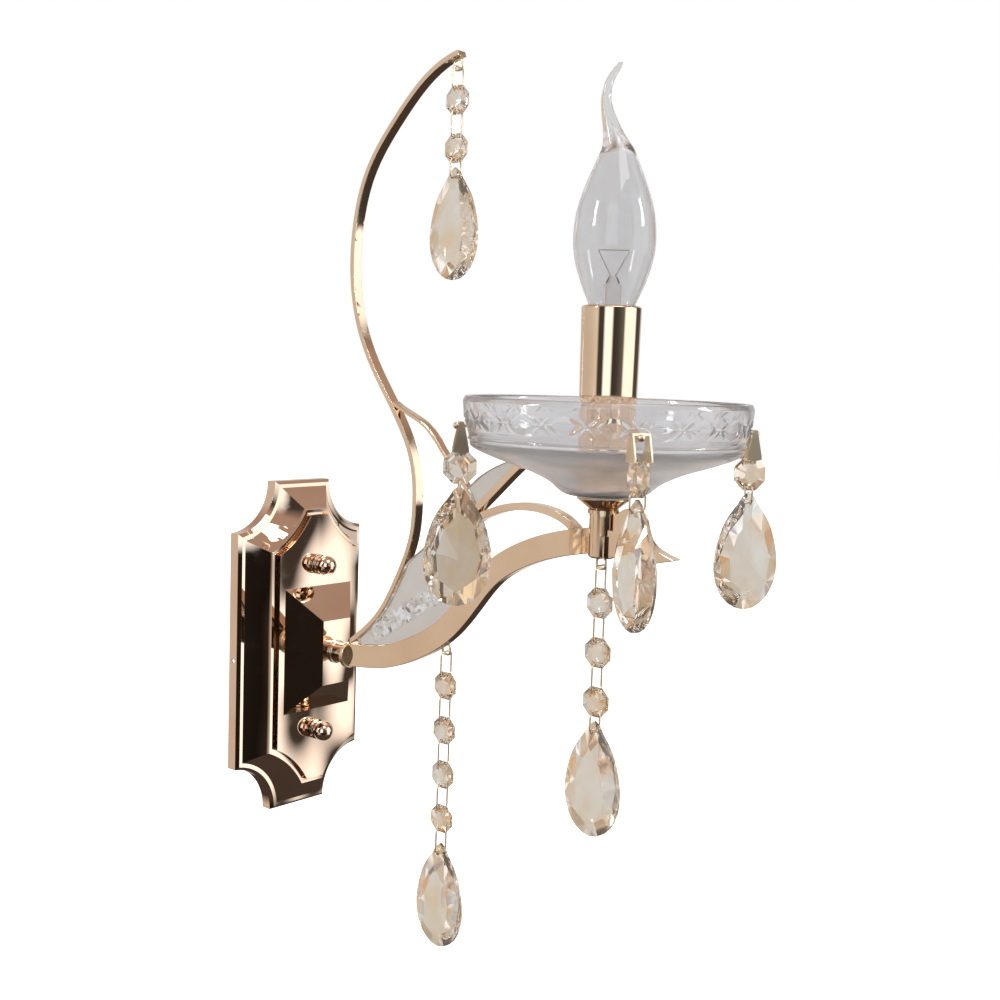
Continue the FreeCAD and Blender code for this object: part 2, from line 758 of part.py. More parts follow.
def build_earth_screw():
    """The earth screw in the bracket."""
    front = S.bracket_thickness + S.earth_head_height
    corners = [(ZERO, -front), (S.earth_head_radius, -front), (S.earth_head_radius, -S.bracket_thickness),
               (S.earth_shank_radius, -S.bracket_thickness), (S.earth_shank_radius, ZERO), (ZERO, ZERO)]
    return keep(turned_forward("earth_screw_body", corners, S.earth_rise), "earth_screw")


def tube_corners(inner, outer, start, end):
    """Half section of a plain tube."""
    return [(inner, start), (outer, start), (outer, end), (inner, end)]


def build_arm_fixing():
    """The hollow screw, its locknut, the boss and the flange behind the arm."""
    nipple_front = -pyramid_level - S.boss_length - S.nipple_engagement / 4
    nipple_back = -pyramid_level + S.plate_wall * 2 + S.nipple_inner_reach
    tube = tube_corners(S.nipple_bore_radius, S.nipple_radius, nipple_front, nipple_back)
    nipple = turned_forward("arm_nipple_body", tube, ZERO)
    keep(nipple, "arm_nipple")
    nut_front = -pyramid_level + S.plate_wall * 2
    ring = tube_corners(S.nipple_radius, S.locknut_radius, nut_front, nut_front + S.locknut_thickness)
    nut = turned_forward("nipple_locknut_body", ring, ZERO)
    keep(nut, "nipple_locknut")
    bore = S.nipple_radius
    back = -pyramid_level
    front = back - S.boss_length
    foot = back - S.flange_thickness / 2
    step = front + S.flange_thickness / 2
    corners = [(bore, back), (S.boss_radius, back), (S.boss_radius, foot), (S.boss_neck_radius, foot),
               (S.boss_neck_radius, step), (S.boss_radius, step), (S.boss_radius, front), (bore, front)]
    keep(turned_forward("arm_boss_body", corners, ZERO), "arm_boss")
    end = front - S.flange_thickness
    corners = [(bore, front), (S.flange_radius, front), (S.flange_radius, end), (ZERO, end),
               (ZERO, nipple_front), (bore, nipple_front)]
    keep(turned_forward("arm_flange_body", corners, ZERO), "arm_flange")


arm_axis = -S.arm_reach
bar_half = S.bar_height / 2


def build_lower_arm():
    """The bent bar that runs through the pillar and ends in a pointed fin."""
    body = new_body("lower_arm_body")
    sketch = new_sketch(body, "YZ_Plane")
    line = share_points(ARM_LINE_SHARES, S.arm_reach, S.arm_rise)
    line[0].x = -(pyramid_level + S.boss_length + S.flange_thickness).value
    under = side_of_line(line, bar_half.value)
    over = side_of_line(line, -bar_half.value)
    for edge, offset in ((under, -bar_half), (over, bar_half)):
        edge[0] = vector(as_size(line[0].x), offset + as_size(line[0].y))
        edge[-1] = vector(-(S.arm_reach - S.pillar_radius), S.arm_rise + offset)
    fin_back = -(S.arm_reach + S.pillar_collar_radius + S.fin_gap)
    bar_top = S.arm_rise + bar_half
    bar_foot = S.arm_rise - bar_half
    tip = vector(arm_axis - S.fin_reach, S.arm_rise - S.fin_tip_drop)
    crest = [vector(arm_axis - S.fin_reach * reach_share, S.arm_rise + S.fin_crest * up_share)
             for reach_share, up_share in FIN_EDGE_SHARES]
    start = vector(fin_back, as_size(crest[0].y))
    path = [(smooth_edge(under), under[0], under[-1])]
    heel = vector(arm_axis - S.fin_reach * FIN_HEEL_SHARE, bar_foot - S.fin_gap * 2)
    corners = [under[-1], vector(fin_back, bar_foot), heel]
    for here, there in zip(corners, corners[1:] + [tip]):
        path.append((Part.LineSegment(here, there), here, there))
    path.append((smooth_edge([tip] + crest[::-1] + [start]), tip, start))
    turn = vector(fin_back, bar_top)
    path.append((Part.LineSegment(start, turn), start, turn))
    path.append((Part.LineSegment(turn, over[-1]), turn, over[-1]))
    path.append((smooth_edge(over[::-1]), over[-1], over[0]))
    path.append((Part.LineSegment(over[0], under[0]), over[0], under[0]))
    for curve, _, _ in path:
        sketch.addGeometry(curve)
    extrude(body, sketch, S.bar_width, middle=True)
    return keep(body, "lower_arm")


def closed_plate(name, upper, lower, thickness):
    """A clear plate between two smooth edges in the arm's plane."""
    body = new_body(name)
    sketch = new_sketch(body, "YZ_Plane")
    sketch.addGeometry(smooth_edge(upper))
    sketch.addGeometry(Part.LineSegment(upper[-1], lower[0]))
    sketch.addGeometry(smooth_edge(lower))
    sketch.addGeometry(Part.LineSegment(lower[-1], upper[0]))
    extrude(body, sketch, thickness, middle=True)
    return body


def build_straps(lower_arm):
    """The tall scroll, the inner strap, the arch, the rib and the two clear plates."""
    reach_and_height = (S.arm_reach, S.scroll_height)
    reach_and_rise = (S.arm_reach, S.arm_rise)
    tall = strap_blank("scroll_blank", share_points(SCROLL_LINE_SHARES, *reach_and_height),
                       S.strap_thickness, S.bar_width)
    scroll = keep(cut_away("scroll", tall, lower_arm), "upper_scroll")
    inner = strap_blank("inner_blank", share_points(INNER_LINE_SHARES, *reach_and_height),
                        S.inner_thickness, S.inner_width)
    inner = keep(cut_away("inner", inner, lower_arm, tall), "inner_strap")
    brace = strap_blank("brace_blank", share_points(BRACE_LINE_SHARES, *reach_and_rise),
                        S.brace_thickness, S.bar_width)
    brace = keep(cut_away("brace", brace, lower_arm, inner), "arch_brace")
    rib = strap_blank("rib_blank", way_points(RIB_LINE_SHARES), S.brace_thickness, S.bar_width)
    rib = keep(cut_away("rib", rib, inner, brace), "leaf_rib")
    leaf = closed_plate("leaf_blank", share_points(LEAF_UPPER_SHARES, *reach_and_rise),
                        share_points(LEAF_LOWER_SHARES, *reach_and_rise), S.leaf_thickness)
    keep(cut_away("leaf", leaf, lower_arm, tall, inner, brace), "clear_leaf")
    blade = closed_plate("blade_blank", way_points(BLADE_UPPER_SHARES), way_points(BLADE_LOWER_SHARES),
                         S.leaf_thickness)
    keep(cut_away("blade", blade, inner, rib, brace), "clear_blade")
    return scroll


def line_height_at(shares, across, up, reach):
    """Height of a share line at a reach, straight between its points."""
    pairs = [(across.value * y_share, up.value * z_share) for y_share, z_share in shares]
    for (y_low, z_low), (y_high, z_high) in zip(pairs, pairs[1:]):
        if min(y_low, y_high) <= reach.value <= max(y_low, y_high) and z_high > z_low:
            found = z_low + (z_high - z_low) * (reach.value - y_low) / (y_high - y_low)
    return as_size(found)


def build_ring(label, reach, height, tool):
    """A brazed wire loop in the arm's plane, coped to what carries it."""
    body = new_body(f"{label}_body")
    corner = S.ring_corner_radius
    half = S.ring_radius
    flat = half - corner
    top = half * 2
    path = new_sketch(body, "YZ_Plane")
    corners = [(-flat, ZERO), (flat, ZERO), (half, corner), (half, top - corner), (flat, top), (-flat, top),
               (-half, top - corner), (-half, corner)]
    draw_outline(path, corners, {edge: (corner, -1) for edge in (1, 3, 5, 7)})
    wire = new_sketch(body, "XZ_Plane")
    draw_circle(wire, S.ring_wire_radius)
    pipe = body.newObject("PartDesign::AdditivePipe", f"{label}_pipe")
    pipe.Profile = wire
    pipe.Spine = (path, [f"Edge{number}" for number in range(1, len(corners) + 1)])
    place(body, ZERO, -reach, height - half)
    return keep(cut_away(label, body, tool), label)


ring_drop = S.ring_radius + S.ring_wire_radius - S.ring_sink
scroll_ring_reach = S.arm_reach * SCROLL_RING_SHARE
arm_ring_reach = S.arm_reach * ARM_RING_SHARE
scroll_line = line_height_at(SCROLL_LINE_SHARES, S.arm_reach, S.scroll_height, scroll_ring_reach)
scroll_ring_height = scroll_line - S.strap_thickness * RING_STRAP_SHARE - ring_drop
arm_line = line_height_at(ARM_LINE_SHARES, S.arm_reach, S.arm_rise, arm_ring_reach)
arm_ring_height = arm_line - S.bar_height * RING_BAR_SHARE - ring_drop
pillar_ring_height = S.pillar_bottom - ring_drop


def build_pillar(lower_arm):
    """The turned pillar over the bar, with shallow windows and a threaded bore on top."""
    bottom = S.pillar_bottom
    top = pillar_top
    collar = S.pillar_collar_height
    floor = top - S.rod_depth
    corners = [(ZERO, bottom), (S.pillar_radius - collar / 2, bottom), (S.pillar_radius, bottom + collar / 2),
               (S.pillar_radius, top - collar), (S.pillar_collar_radius, top - collar),
               (S.pillar_collar_radius, top), (S.rod_radius, top), (S.rod_radius, floor), (ZERO, floor)]
    body = turned_body("pillar_blank", corners)
    doc.recompute()
    window = new_sketch(body, "XZ_Plane", S.pillar_radius + S.overrun)
    half = S.window_width / 2
    foot = S.arm_rise + bar_half - S.window_height / 3
    draw_outline(window, box_corners(-half, half, foot, foot + S.window_height))
    pocket = cut_through(body, window, S.window_depth + S.overrun)
    pattern = body.newObject("PartDesign::PolarPattern", "pillar_windows")
    pattern.Originals = [pocket]
    axis = next(item for item in body.Origin.OriginFeatures if item.Role == "Z_Axis")
    pattern.Axis = (axis, [""])
    pattern.Angle = 360
    pattern.Occurrences = WINDOW_COUNT
    body.Tip = pattern
    place(body, ZERO, arm_axis, ZERO, yaw=WINDOW_TURN)
    return keep(cut_away("pillar", body, lower_arm), "pillar")


pillar_top = S.pillar_bottom + S.pillar_height
seat_top = pillar_top + S.seat_height
bowl_foot = seat_top + S.gasket_thickness
bowl_floor = bowl_foot + S.bowl_wall
bowl_rim = bowl_foot + S.bowl_height
hook_height = bowl_rim - S.bowl_height * BOWL_HOLE_SHARE
bowl_band = S.bowl_height * BOWL_BAND_SHARE


def build_bowl_clamp():
    """The hollow rod, the cup seat, the gasket, the washer and the nut that hold the bowl."""
    rod_foot = pillar_top - S.rod_depth
    rod = turned_body("rod_body", tube_corners(S.rod_bore_radius, S.rod_radius, rod_foot, S.rod_top))
    keep(place(rod, ZERO, arm_axis), "threaded_rod")
    corners = [(S.rod_radius, pillar_top), (S.pillar_radius, pillar_top),
               (S.seat_radius, seat_top - S.pillar_collar_height / 2), (S.seat_radius, seat_top),
               (S.rod_radius, seat_top)]
    keep(place(turned_body("seat_body", corners), ZERO, arm_axis), "cup_seat")
    gasket = turned_body("gasket_body", tube_corners(S.bowl_bore_radius, S.seat_radius, seat_top, bowl_foot))
    keep(place(gasket, ZERO, arm_axis), "bowl_gasket")
    washer_top = bowl_floor + S.washer_thickness
    washer_radius = S.bowl_radius * BOWL_FOOT_SHARE
    washer = turned_body("washer_body", tube_corners(S.rod_radius, washer_radius, bowl_floor, washer_top))
    keep(place(washer, ZERO, arm_axis), "bowl_washer")
    nut = new_body("clamp_nut_body")
    sketch = new_sketch(nut, "XY_Plane", washer_top)
    corner_radius = S.clamp_nut_flats / 2 / math.cos(math.pi / NUT_SIDES)
    turns = [2 * math.pi * number / NUT_SIDES for number in range(NUT_SIDES)]
    corners = [(corner_radius * math.cos(turn), corner_radius * math.sin(turn)) for turn in turns]
    draw_outline(sketch, corners)
    draw_circle(sketch, S.rod_radius)
    extrude(nut, sketch, S.clamp_nut_thickness)
    keep(place(nut, ZERO, arm_axis), "clamp_nut")


def bowl_section():
    """Half section of the bowl: a flat foot, a shallow S under it and an upright band."""
    wall = S.bowl_wall
    band_foot = bowl_rim - bowl_band
    radius = S.bowl_radius
    foot_radius = S.bowl_radius * BOWL_FOOT_SHARE
    waist = radius - S.bowl_band_taper
    lip = S.bowl_lip_round
    under = [vector(foot_radius, bowl_foot)]
    under += [vector(radius * r_share, bowl_foot + S.bowl_height * z_share)
              for r_share, z_share in BOWL_UNDER_SHARES]
    under.append(vector(waist - lip / 2, band_foot - lip))
    inside = side_of_line(under, wall.value)
    inside[0] = vector(foot_radius, bowl_floor)
    band = [(waist - lip / 2, band_foot - lip), (waist + lip / 2, band_foot), (waist, band_foot + lip),
            (radius - lip / 2, band_foot + bowl_band / 2), (radius, bowl_rim - lip * 2),
            (radius - lip, bowl_rim), (radius - wall + lip, bowl_rim),
            (radius - wall, bowl_rim - lip * 2), (waist - wall, band_foot)]
    return under, inside, band


def build_bowl():
    """The cut glass bowl with four holes in its band."""
    body = new_body("bowl_body")
    sketch = new_sketch(body, "XZ_Plane")
    under, inside, band = bowl_section()
    bore = S.bowl_bore_radius
    band_points = [vector(*corner) for corner in band]
    foot = vector(bore, bowl_foot)
    floor = vector(bore, bowl_floor)
    sketch.addGeometry(Part.LineSegment(foot, under[0]))
    sketch.addGeometry(smooth_edge(under))
    chain = band_points + [inside[-1]]
    for here, there in zip(chain, chain[1:]):
        sketch.addGeometry(Part.LineSegment(here, there))
    sketch.addGeometry(smooth_edge(inside[::-1]))
    sketch.addGeometry(Part.LineSegment(inside[0], floor))
    sketch.addGeometry(Part.LineSegment(floor, foot))
    revolve(body, sketch)
    doc.recompute()
    hole = new_sketch(body, "XZ_Plane", S.bowl_radius + S.overrun)
    draw_circle(hole, S.bowl_hole_radius, ZERO, hook_height)
    pocket = cut_through(body, hole, S.bowl_wall * 2 + S.bowl_band_taper)
    pattern = body.newObject("PartDesign::PolarPattern", "bowl_holes")
    pattern.Originals = [pocket]
    axis = next(item for item in body.Origin.OriginFeatures if item.Role == "Z_Axis")
    pattern.Axis = (axis, [""])
    pattern.Angle = 360
    pattern.Occurrences = BOWL_HOLE_COUNT
    body.Tip = pattern
    return keep(place(body, ZERO, arm_axis, ZERO, yaw=BOWL_TURN), "glass_bowl")


def build_candle():
    """The metal sleeve and the lampholder inside it."""
    foot = bowl_floor + S.washer_thickness
    wall = S.sleeve_wall
    low = S.sleeve_foot_radius
    high = S.sleeve_top_radius
    top = S.sleeve_top
    corners = [(low - wall, foot), (low, foot), (high, top - wall), (high - wall, top),
               (high - wall - S.sleeve_lip, top), (high - wall - S.sleeve_lip, top - wall),
               (high - wall * 2, top - wall * 2)]
    keep(place(turned_body("sleeve_body", corners), ZERO, arm_axis), "candle_sleeve")
    holder_low = S.holder_foot
    corners = [(S.rod_radius, holder_low), (S.holder_radius - wall, holder_low),
               (S.holder_radius, holder_low + wall),
               (S.holder_radius, S.holder_top), (S.holder_bore_radius, S.holder_top),
               (S.holder_bore_radius, S.holder_floor), (S.contact_radius, S.holder_floor),
               (S.contact_radius, S.rod_top + wall), (S.rod_radius, S.rod_top + wall)]
    keep(place(turned_body("holder_body", corners), ZERO, arm_axis), "lampholder")
    inner = S.shell_radius - S.shell_wall
    start = S.holder_floor
    floor = start + S.shell_wall
    rim = start + S.shell_height
    ring = S.contact_radius + S.shell_wall
    corners = [(ring, start), (S.holder_bore_radius, start), (S.holder_bore_radius, floor),
               (S.shell_radius, floor), (S.shell_radius, rim), (inner, rim), (inner, floor), (ring, floor)]
    keep(place(turned_body("shell_body", corners), ZERO, arm_axis), "lampholder_shell")
    contact_top = S.cap_bottom - S.cap_tip_height - S.cap_seat_gap
    corners = [(ZERO, start), (S.contact_radius, start), (S.contact_radius, start + S.contact_thickness),
               (S.contact_radius / 2, contact_top), (ZERO, contact_top)]
    keep(place(turned_body("contact_body", corners), ZERO, arm_axis), "lampholder_contact")


glass_bottom = S.cap_bottom + S.cap_height
tail_start = glass_bottom + S.glass_height


def build_lamp_glass():
    """The lamp's clear glass: a hollow pear and a solid bent tail."""
    body = new_body("lamp_glass_body")
    sketch = new_sketch(body, "XZ_Plane")
    neck = S.glass_neck_radius
    outside = [vector(neck, glass_bottom)]
    outside += [vector(S.glass_radius * r_share, glass_bottom + S.glass_height * z_share)
                for z_share, r_share in GLASS_PROFILE_SHARES]
    crown = vector(ZERO, as_size(outside[-1].y))
    axis_foot = vector(ZERO, glass_bottom)
    sketch.addGeometry(Part.LineSegment(axis_foot, outside[0]))
    sketch.addGeometry(smooth_edge(outside))
    sketch.addGeometry(Part.LineSegment(outside[-1], crown))
    sketch.addGeometry(Part.LineSegment(crown, axis_foot))
    revolve(body, sketch)
    doc.recompute()
    sections = []
    for z_share, r_share, bend_share in TAIL_SECTION_SHARES:
        section = new_sketch(body, "XY_Plane", tail_start + S.tail_height * z_share)
        draw_circle(section, S.glass_radius * r_share, -(S.tail_bend * bend_share))
        sections.append(section)
    loft(body, sections, ruled=False)
    doc.recompute()
    hollow = new_sketch(body, "XZ_Plane")
    wall = S.glass_wall
    inside = side_of_line(outside, wall.value)
    inside[0] = vector(neck - wall, glass_bottom - S.overrun)
    inside[-1] = vector(ZERO, as_size(inside[-1].y))
    base = vector(ZERO, glass_bottom - S.overrun)
    hollow.addGeometry(Part.LineSegment(base, inside[0]))
    hollow.addGeometry(smooth_edge(inside[:-1]))
    hollow.addGeometry(Part.LineSegment(inside[-2], inside[-1]))
    hollow.addGeometry(Part.LineSegment(inside[-1], base))
    revolve(body, hollow, "Groove")
    return keep(place(body, ZERO, arm_axis, ZERO, yaw=TAIL_TURN), "lamp_glass")


def build_lamp_inside():
    """The lamp's screw cap, stem, leads and filament."""
    bottom = S.cap_bottom
    ridge = S.cap_radius
    valley = S.cap_radius - S.cap_thread_depth
    tip = bottom - S.cap_tip_height
    corners = [(ZERO, tip), (S.cap_tip_radius / 2, tip), (S.cap_tip_radius, bottom - S.cap_tip_height / 2),
               (S.cap_tip_radius, bottom - S.cap_tip_height / 4), (valley - S.cap_ridge_step / 2, bottom)]
    start = bottom + S.cap_ridge_step
    for thread in range(CAP_THREADS):
        corners.append((valley, start + S.cap_ridge_step * thread))
        corners.append((ridge, start + S.cap_ridge_step * thread + S.cap_ridge_step / 2))
    skirt = start + S.cap_ridge_step * CAP_THREADS
    corners += [(valley, skirt), (ridge, glass_bottom), (ZERO, glass_bottom)]
    cap = turned_body("lamp_cap_body", corners)
    keep(place(cap, ZERO, arm_axis), "lamp_cap")
    flare = S.glass_neck_radius - S.glass_wall
    stem_top = glass_bottom + S.stem_height
    corners = [(ZERO, glass_bottom), (flare, glass_bottom), (S.stem_radius, glass_bottom + flare),
               (S.stem_radius, stem_top - S.stem_radius), (S.stem_radius / 2, stem_top), (ZERO, stem_top)]
    keep(place(turned_body("lamp_stem_body", corners), ZERO, arm_axis), "lamp_stem")
    leads = []
    lead_top = stem_top + S.lead_height
    for side in (-1, 1):
        foot = vector(S.stem_radius / 4 * side, ZERO, stem_top + S.lead_radius / 2)
        top = vector(S.lead_spread * side, ZERO, lead_top)
        lead = doc.addObject("Part::Cylinder", "lead_wire")
        lead.Radius = S.lead_radius.value
        lead.setExpression("Radius", S.lead_radius.text)
        lead.Height = (top - foot).Length
        lean = FreeCAD.Rotation(FreeCAD.Vector(0, 0, 1), top - foot)
        turn = FreeCAD.Rotation(FreeCAD.Vector(0, 0, 1), TAIL_TURN)
        lead.Placement = FreeCAD.Placement(turn.multVec(foot) + vector(ZERO, arm_axis), turn.multiply(lean))
        leads.append(lead)
    filament = doc.addObject("Part::Cylinder", "filament_wire")
    filament.Radius = S.filament_radius.value
    filament.setExpression("Radius", S.filament_radius.text)
    filament.Height = (S.lead_spread * 2).value
    filament.setExpression("Height", (S.lead_spread * 2).text)
    turn = FreeCAD.Rotation(FreeCAD.Vector(0, 0, 1), TAIL_TURN)
    start_point = turn.multVec(vector(-S.lead_spread, ZERO, lead_top + S.lead_radius / 2))
    along = FreeCAD.Rotation(FreeCAD.Vector(0, 1, 0), 90)
    filament.Placement = FreeCAD.Placement(start_point + vector(ZERO, arm_axis), turn.multiply(along))
    wires = doc.addObject("Part::MultiFuse", "lamp_wires")
    wires.Shapes = leads + [filament]
    keep(wires, "lamp_filament")


def drop_corners(length, scale_share):
    """Outline of a drop about its middle, scaled; across and height above the drop's bottom."""
    half = S.drop_width / 2
    centre = length * DROP_CENTRE_SHARE
    right = []
    for depth_share, width_share in DROP_OUTLINE_SHARES:
        height = centre + (length * depth_share - centre) * scale_share
        right.append((half * (width_share * scale_share), -height))
    left = [(-across, height) for across, height in reversed(right)]
    return right + left


def octagon_corners(size, scale_share):
    """Outline of an octagon about its centre, scaled."""
    half = size / 2 * scale_share
    side = half * OCTAGON_SIDE_SHARE
    return [(half, -side), (half, side), (side, half), (-side, half), (-half, side), (-half, -side),
            (-side, -half), (side, -half)]


def faceted_body(name, corners_for, size, table_share, thickness, edge):
    """A cut crystal: a thin girdle between two smaller flat tables, faceted between."""
    body = new_body(name)
    sections = []
    for height, scale_share in ((-thickness / 2, table_share), (-edge / 2, 1), (edge / 2, 1),
                                (thickness / 2, table_share)):
        section = new_sketch(body, "YZ_Plane", height)
        draw_outline(section, corners_for(size, scale_share))
        sections.append(section)
    loft(body, sections)
    doc.recompute()
    return body


def build_drop(label, x, y, top, yaw):
    """One large drop, hung by the hole near its top."""
    body = faceted_body(f"{label}_body", drop_corners, S.drop_length, DROP_TABLE_SHARE, S.drop_thickness,
                        S.drop_edge)
    hole = new_sketch(body, "YZ_Plane")
    draw_circle(hole, S.drop_hole_radius, ZERO, -S.drop_hole_inset)
    cut_through(body, hole, S.drop_thickness + S.overrun, middle=True)
    return keep(place(body, x, y, top, yaw), label)


def build_octagons(label, x, y, top, yaw, size, count):
    """A row of octagons below one another, each with a hole at top and bottom."""
    body = faceted_body(f"{label}_body", octagon_corners, size, OCTAGON_TABLE_SHARE, S.octagon_thickness,
                        S.octagon_edge)
    hole = new_sketch(body, "YZ_Plane")
    hole_height = size / 2 - S.octagon_hole_inset
    for side in (-1, 1):
        draw_circle(hole, S.octagon_hole_radius, ZERO, hole_height * side)
    cut_through(body, hole, S.octagon_thickness + S.overrun, middle=True)
    centre = top - size / 2
    place(body, x, y, centre, yaw)
    if count == 1:
        return keep(body, label)
    copies = [body]
    for number in range(1, count):
        copy = doc.addObject("Part::Compound", f"{label}_copy")
        copy.Links = [body]
        place(copy, ZERO, ZERO, -(S.string_pitch * number))
        copies.append(copy)
    row = doc.addObject("Part::Compound", f"{label}_row")
    row.Links = copies
    return keep(row, label)


def link_body(name, height):
    """A wire link with round corners, hung from the middle of its top wire."""
    body = new_body(name)
    half = S.link_width / 2 - S.link_wire_radius
    corner = S.link_corner_radius
    path = new_sketch(body, "XZ_Plane")
    flat = half - corner
    low = -(height - corner)
    corners = [(flat, ZERO), (-flat, ZERO), (-half, -corner), (-half, low), (-flat, -height),
               (flat, -height), (half, low), (half, -corner)]
    draw_outline(path, corners, {edge: (corner, -1) for edge in (1, 3, 5, 7)})
    wire = new_sketch(body, "YZ_Plane")
    draw_circle(wire, S.link_wire_radius)
    pipe = body.newObject("PartDesign::AdditivePipe", f"{name}_pipe")
    pipe.Profile = wire
    pipe.Spine = (path, [f"Edge{number}" for number in range(1, len(corners) + 1)])
    return body


def build_string(name, reach, ring_height, top_gap, gap, count):
    """A hanging string: its links in one piece, its octagons in another and its drop."""
    ring_wire = ring_height - S.ring_radius
    first_top = ring_wire + S.ring_wire_radius + S.link_wire_radius + S.link_ring_gap
    top = ring_wire - top_gap
    hole_up = top - S.octagon_hole_inset
    between = S.string_pitch - S.octagon_size + S.octagon_hole_inset * 2
    last_hole = hole_up - S.string_pitch * (count - 1) - S.octagon_size + S.octagon_hole_inset * 2
    drop_top = last_hole - S.octagon_hole_inset - gap
    first = place(link_body(f"{name}_link_first", first_top - hole_up), ZERO, -reach, first_top)
    links = [first]
    for number in range(count - 1):
        lower_hole = hole_up - S.string_pitch * number - S.octagon_size + S.octagon_hole_inset * 2
        link = link_body(f"{name}_link_{number + 1}", between)
        links.append(place(link, ZERO, -reach, lower_hole))
    last = link_body(f"{name}_link_last", last_hole - drop_top + S.drop_hole_inset)
    links.append(place(last, ZERO, -reach, last_hole))
    row = doc.addObject("Part::Compound", f"{name}_links")
    row.Links = links
    keep(row, f"{name}_links")
    build_octagons(f"{name}_octagons", ZERO, -reach, top, 0.0, S.octagon_size, count)
    build_drop(f"{name}_drop", ZERO, -reach, drop_top, 0.0)
    hinge = (ring_wire.value, (drop_top - S.drop_hole_inset).value)
    print(f"{name} string: ring wire at {hinge[0]:.3f}, drop hole at {hinge[1]:.3f}, reach {reach.value:.3f}")


def build_hook(label, angle, reach):
    """A pin through the band, with a flat head inside and a knob outside."""
    wall_inside = S.bowl_radius - S.bowl_band_taper - S.bowl_wall - S.hook_gap
    head = wall_inside - S.hook_head_thickness
    neck = reach + S.clip_head_width / 2 + S.knob_gap
    corners = [(ZERO, head), (S.hook_head_radius, head), (S.hook_head_radius, wall_inside),
               (S.hook_pin_radius, wall_inside), (S.hook_pin_radius, neck), (S.hook_knob_radius, neck),
               (ZERO, neck + S.hook_knob_radius)]
    pin = new_body(f"{label}_body")
    sketch = new_sketch(pin, "XY_Plane")
    draw_outline(sketch, corners, {5: (S.hook_knob_radius, -1)})
    revolve(pin, sketch)
    return keep(place(pin, ZERO, arm_axis, hook_height, yaw=angle - 90), label)


def clip_body(name, drop_to_hole):
    """A bent clip: narrow over the hook, wider where it holds the crystal, with two prongs."""
    body = new_body(name)
    sketch = new_sketch(body, "XZ_Plane")
    gauge = S.clip_gauge
    half = S.clip_width / 2
    under = S.hook_pin_radius + S.hook_gap
    top = under + gauge
    bottom = -drop_to_hole - gauge / 2
    prong = -drop_to_hole + gauge / 2
    reach = S.octagon_edge / 2
    side = half - gauge
    corners = [(half, bottom), (half, top), (-half, top), (-half, bottom), (-reach, bottom),
               (-reach, prong), (-side, prong), (-side, under), (side, under), (side, prong),
               (reach, prong), (reach, bottom)]
    draw_outline(sketch, corners)
    extrude(body, sketch, S.clip_foot_width, middle=True)
    doc.recompute()
    trim = new_sketch(body, "YZ_Plane")
    wide = S.clip_foot_width / 2
    narrow = S.clip_head_width / 2
    shoulder = prong + gauge
    prong_half = S.octagon_hole_radius * PRONG_SHARE
    over = S.overrun
    for side in (-1, 1):
        draw_outline(trim, [(narrow * side, top + over), (wide * side, shoulder + gauge * 2),
                            (wide * side, shoulder), (prong_half * side, prong + gauge / 2),
                            (prong_half * side, bottom - over), ((wide + over) * side, bottom - over),
                            ((wide + over) * side, top + over)])
    cut_through(body, trim, S.clip_width + over, middle=True)
    return body


STRING_GAPS = {"left": S.left_string_gap, "front": S.front_string_gap, "right": S.right_string_gap}


def build_bowl_string(side):
    """One crystal string of the bowl: hook, clip and link, octagon and drop."""
    angle = STRING_HOLE_ANGLES[side]
    label = f"bowl_{side}"
    reach = S.bowl_radius + STRING_GAPS[side]
    build_hook(f"{label}_hook", angle, reach)
    yaw = angle + 90 + STRING_TWISTS[side]
    x = reach * math.cos(math.radians(angle))
    y = arm_axis + reach * math.sin(math.radians(angle))
    lift = S.front_string_lift if side == "front" else ZERO
    size = S.bowl_octagon_size
    drop_to_hole = S.clip_height - S.hook_pin_radius - S.hook_gap - S.clip_gauge - lift
    hole = hook_height - drop_to_hole
    octagon_top = hole + S.octagon_hole_inset
    low_hole = octagon_top - size + S.octagon_hole_inset
    drop_top = octagon_top - size - S.bowl_drop_gap
    clip = place(clip_body(f"{label}_strip", drop_to_hole), x, y, hook_height, yaw)
    link = place(link_body(f"{label}_link", low_hole - drop_top + S.drop_hole_inset), x, y, low_hole, yaw)
    wires = doc.addObject("Part::Compound", f"{label}_wires")
    wires.Links = [clip, link]
    keep(wires, f"{label}_clip")
    build_octagons(f"{label}_octagon", x, y, octagon_top, yaw, size, 1)
    build_drop(f"{label}_drop", x, y, drop_top, yaw)
    print(f"{label}: pivot {x.value:.3f} {y.value:.3f} {hook_height.value:.3f}, drop hole at "
          f"{(drop_top - S.drop_hole_inset).value:.3f}, yaw {yaw}")


def check_and_export():
    """Stop on any failed object, then write each piece to its own file."""
    doc.recompute()
    for item in doc.Objects:
        if "Invalid" in item.State or "Error" in item.State:
            raise RuntimeError(f"{item.Name} ({item.Label}) is {item.State}")
    for node in nodes:
        if node.Shape.isNull() or not node.Shape.isValid():
            raise RuntimeError(f"{node.Label} has no valid shape")
        if node.Shape.Volume <= 0:
            raise RuntimeError(f"{node.Label} has no volume")
    os.makedirs("parts", exist_ok=True)
    for node in nodes:
        node.Shape.exportStep(f"parts/{node.Label}.step")
    print(f"{len(nodes)} pieces written")


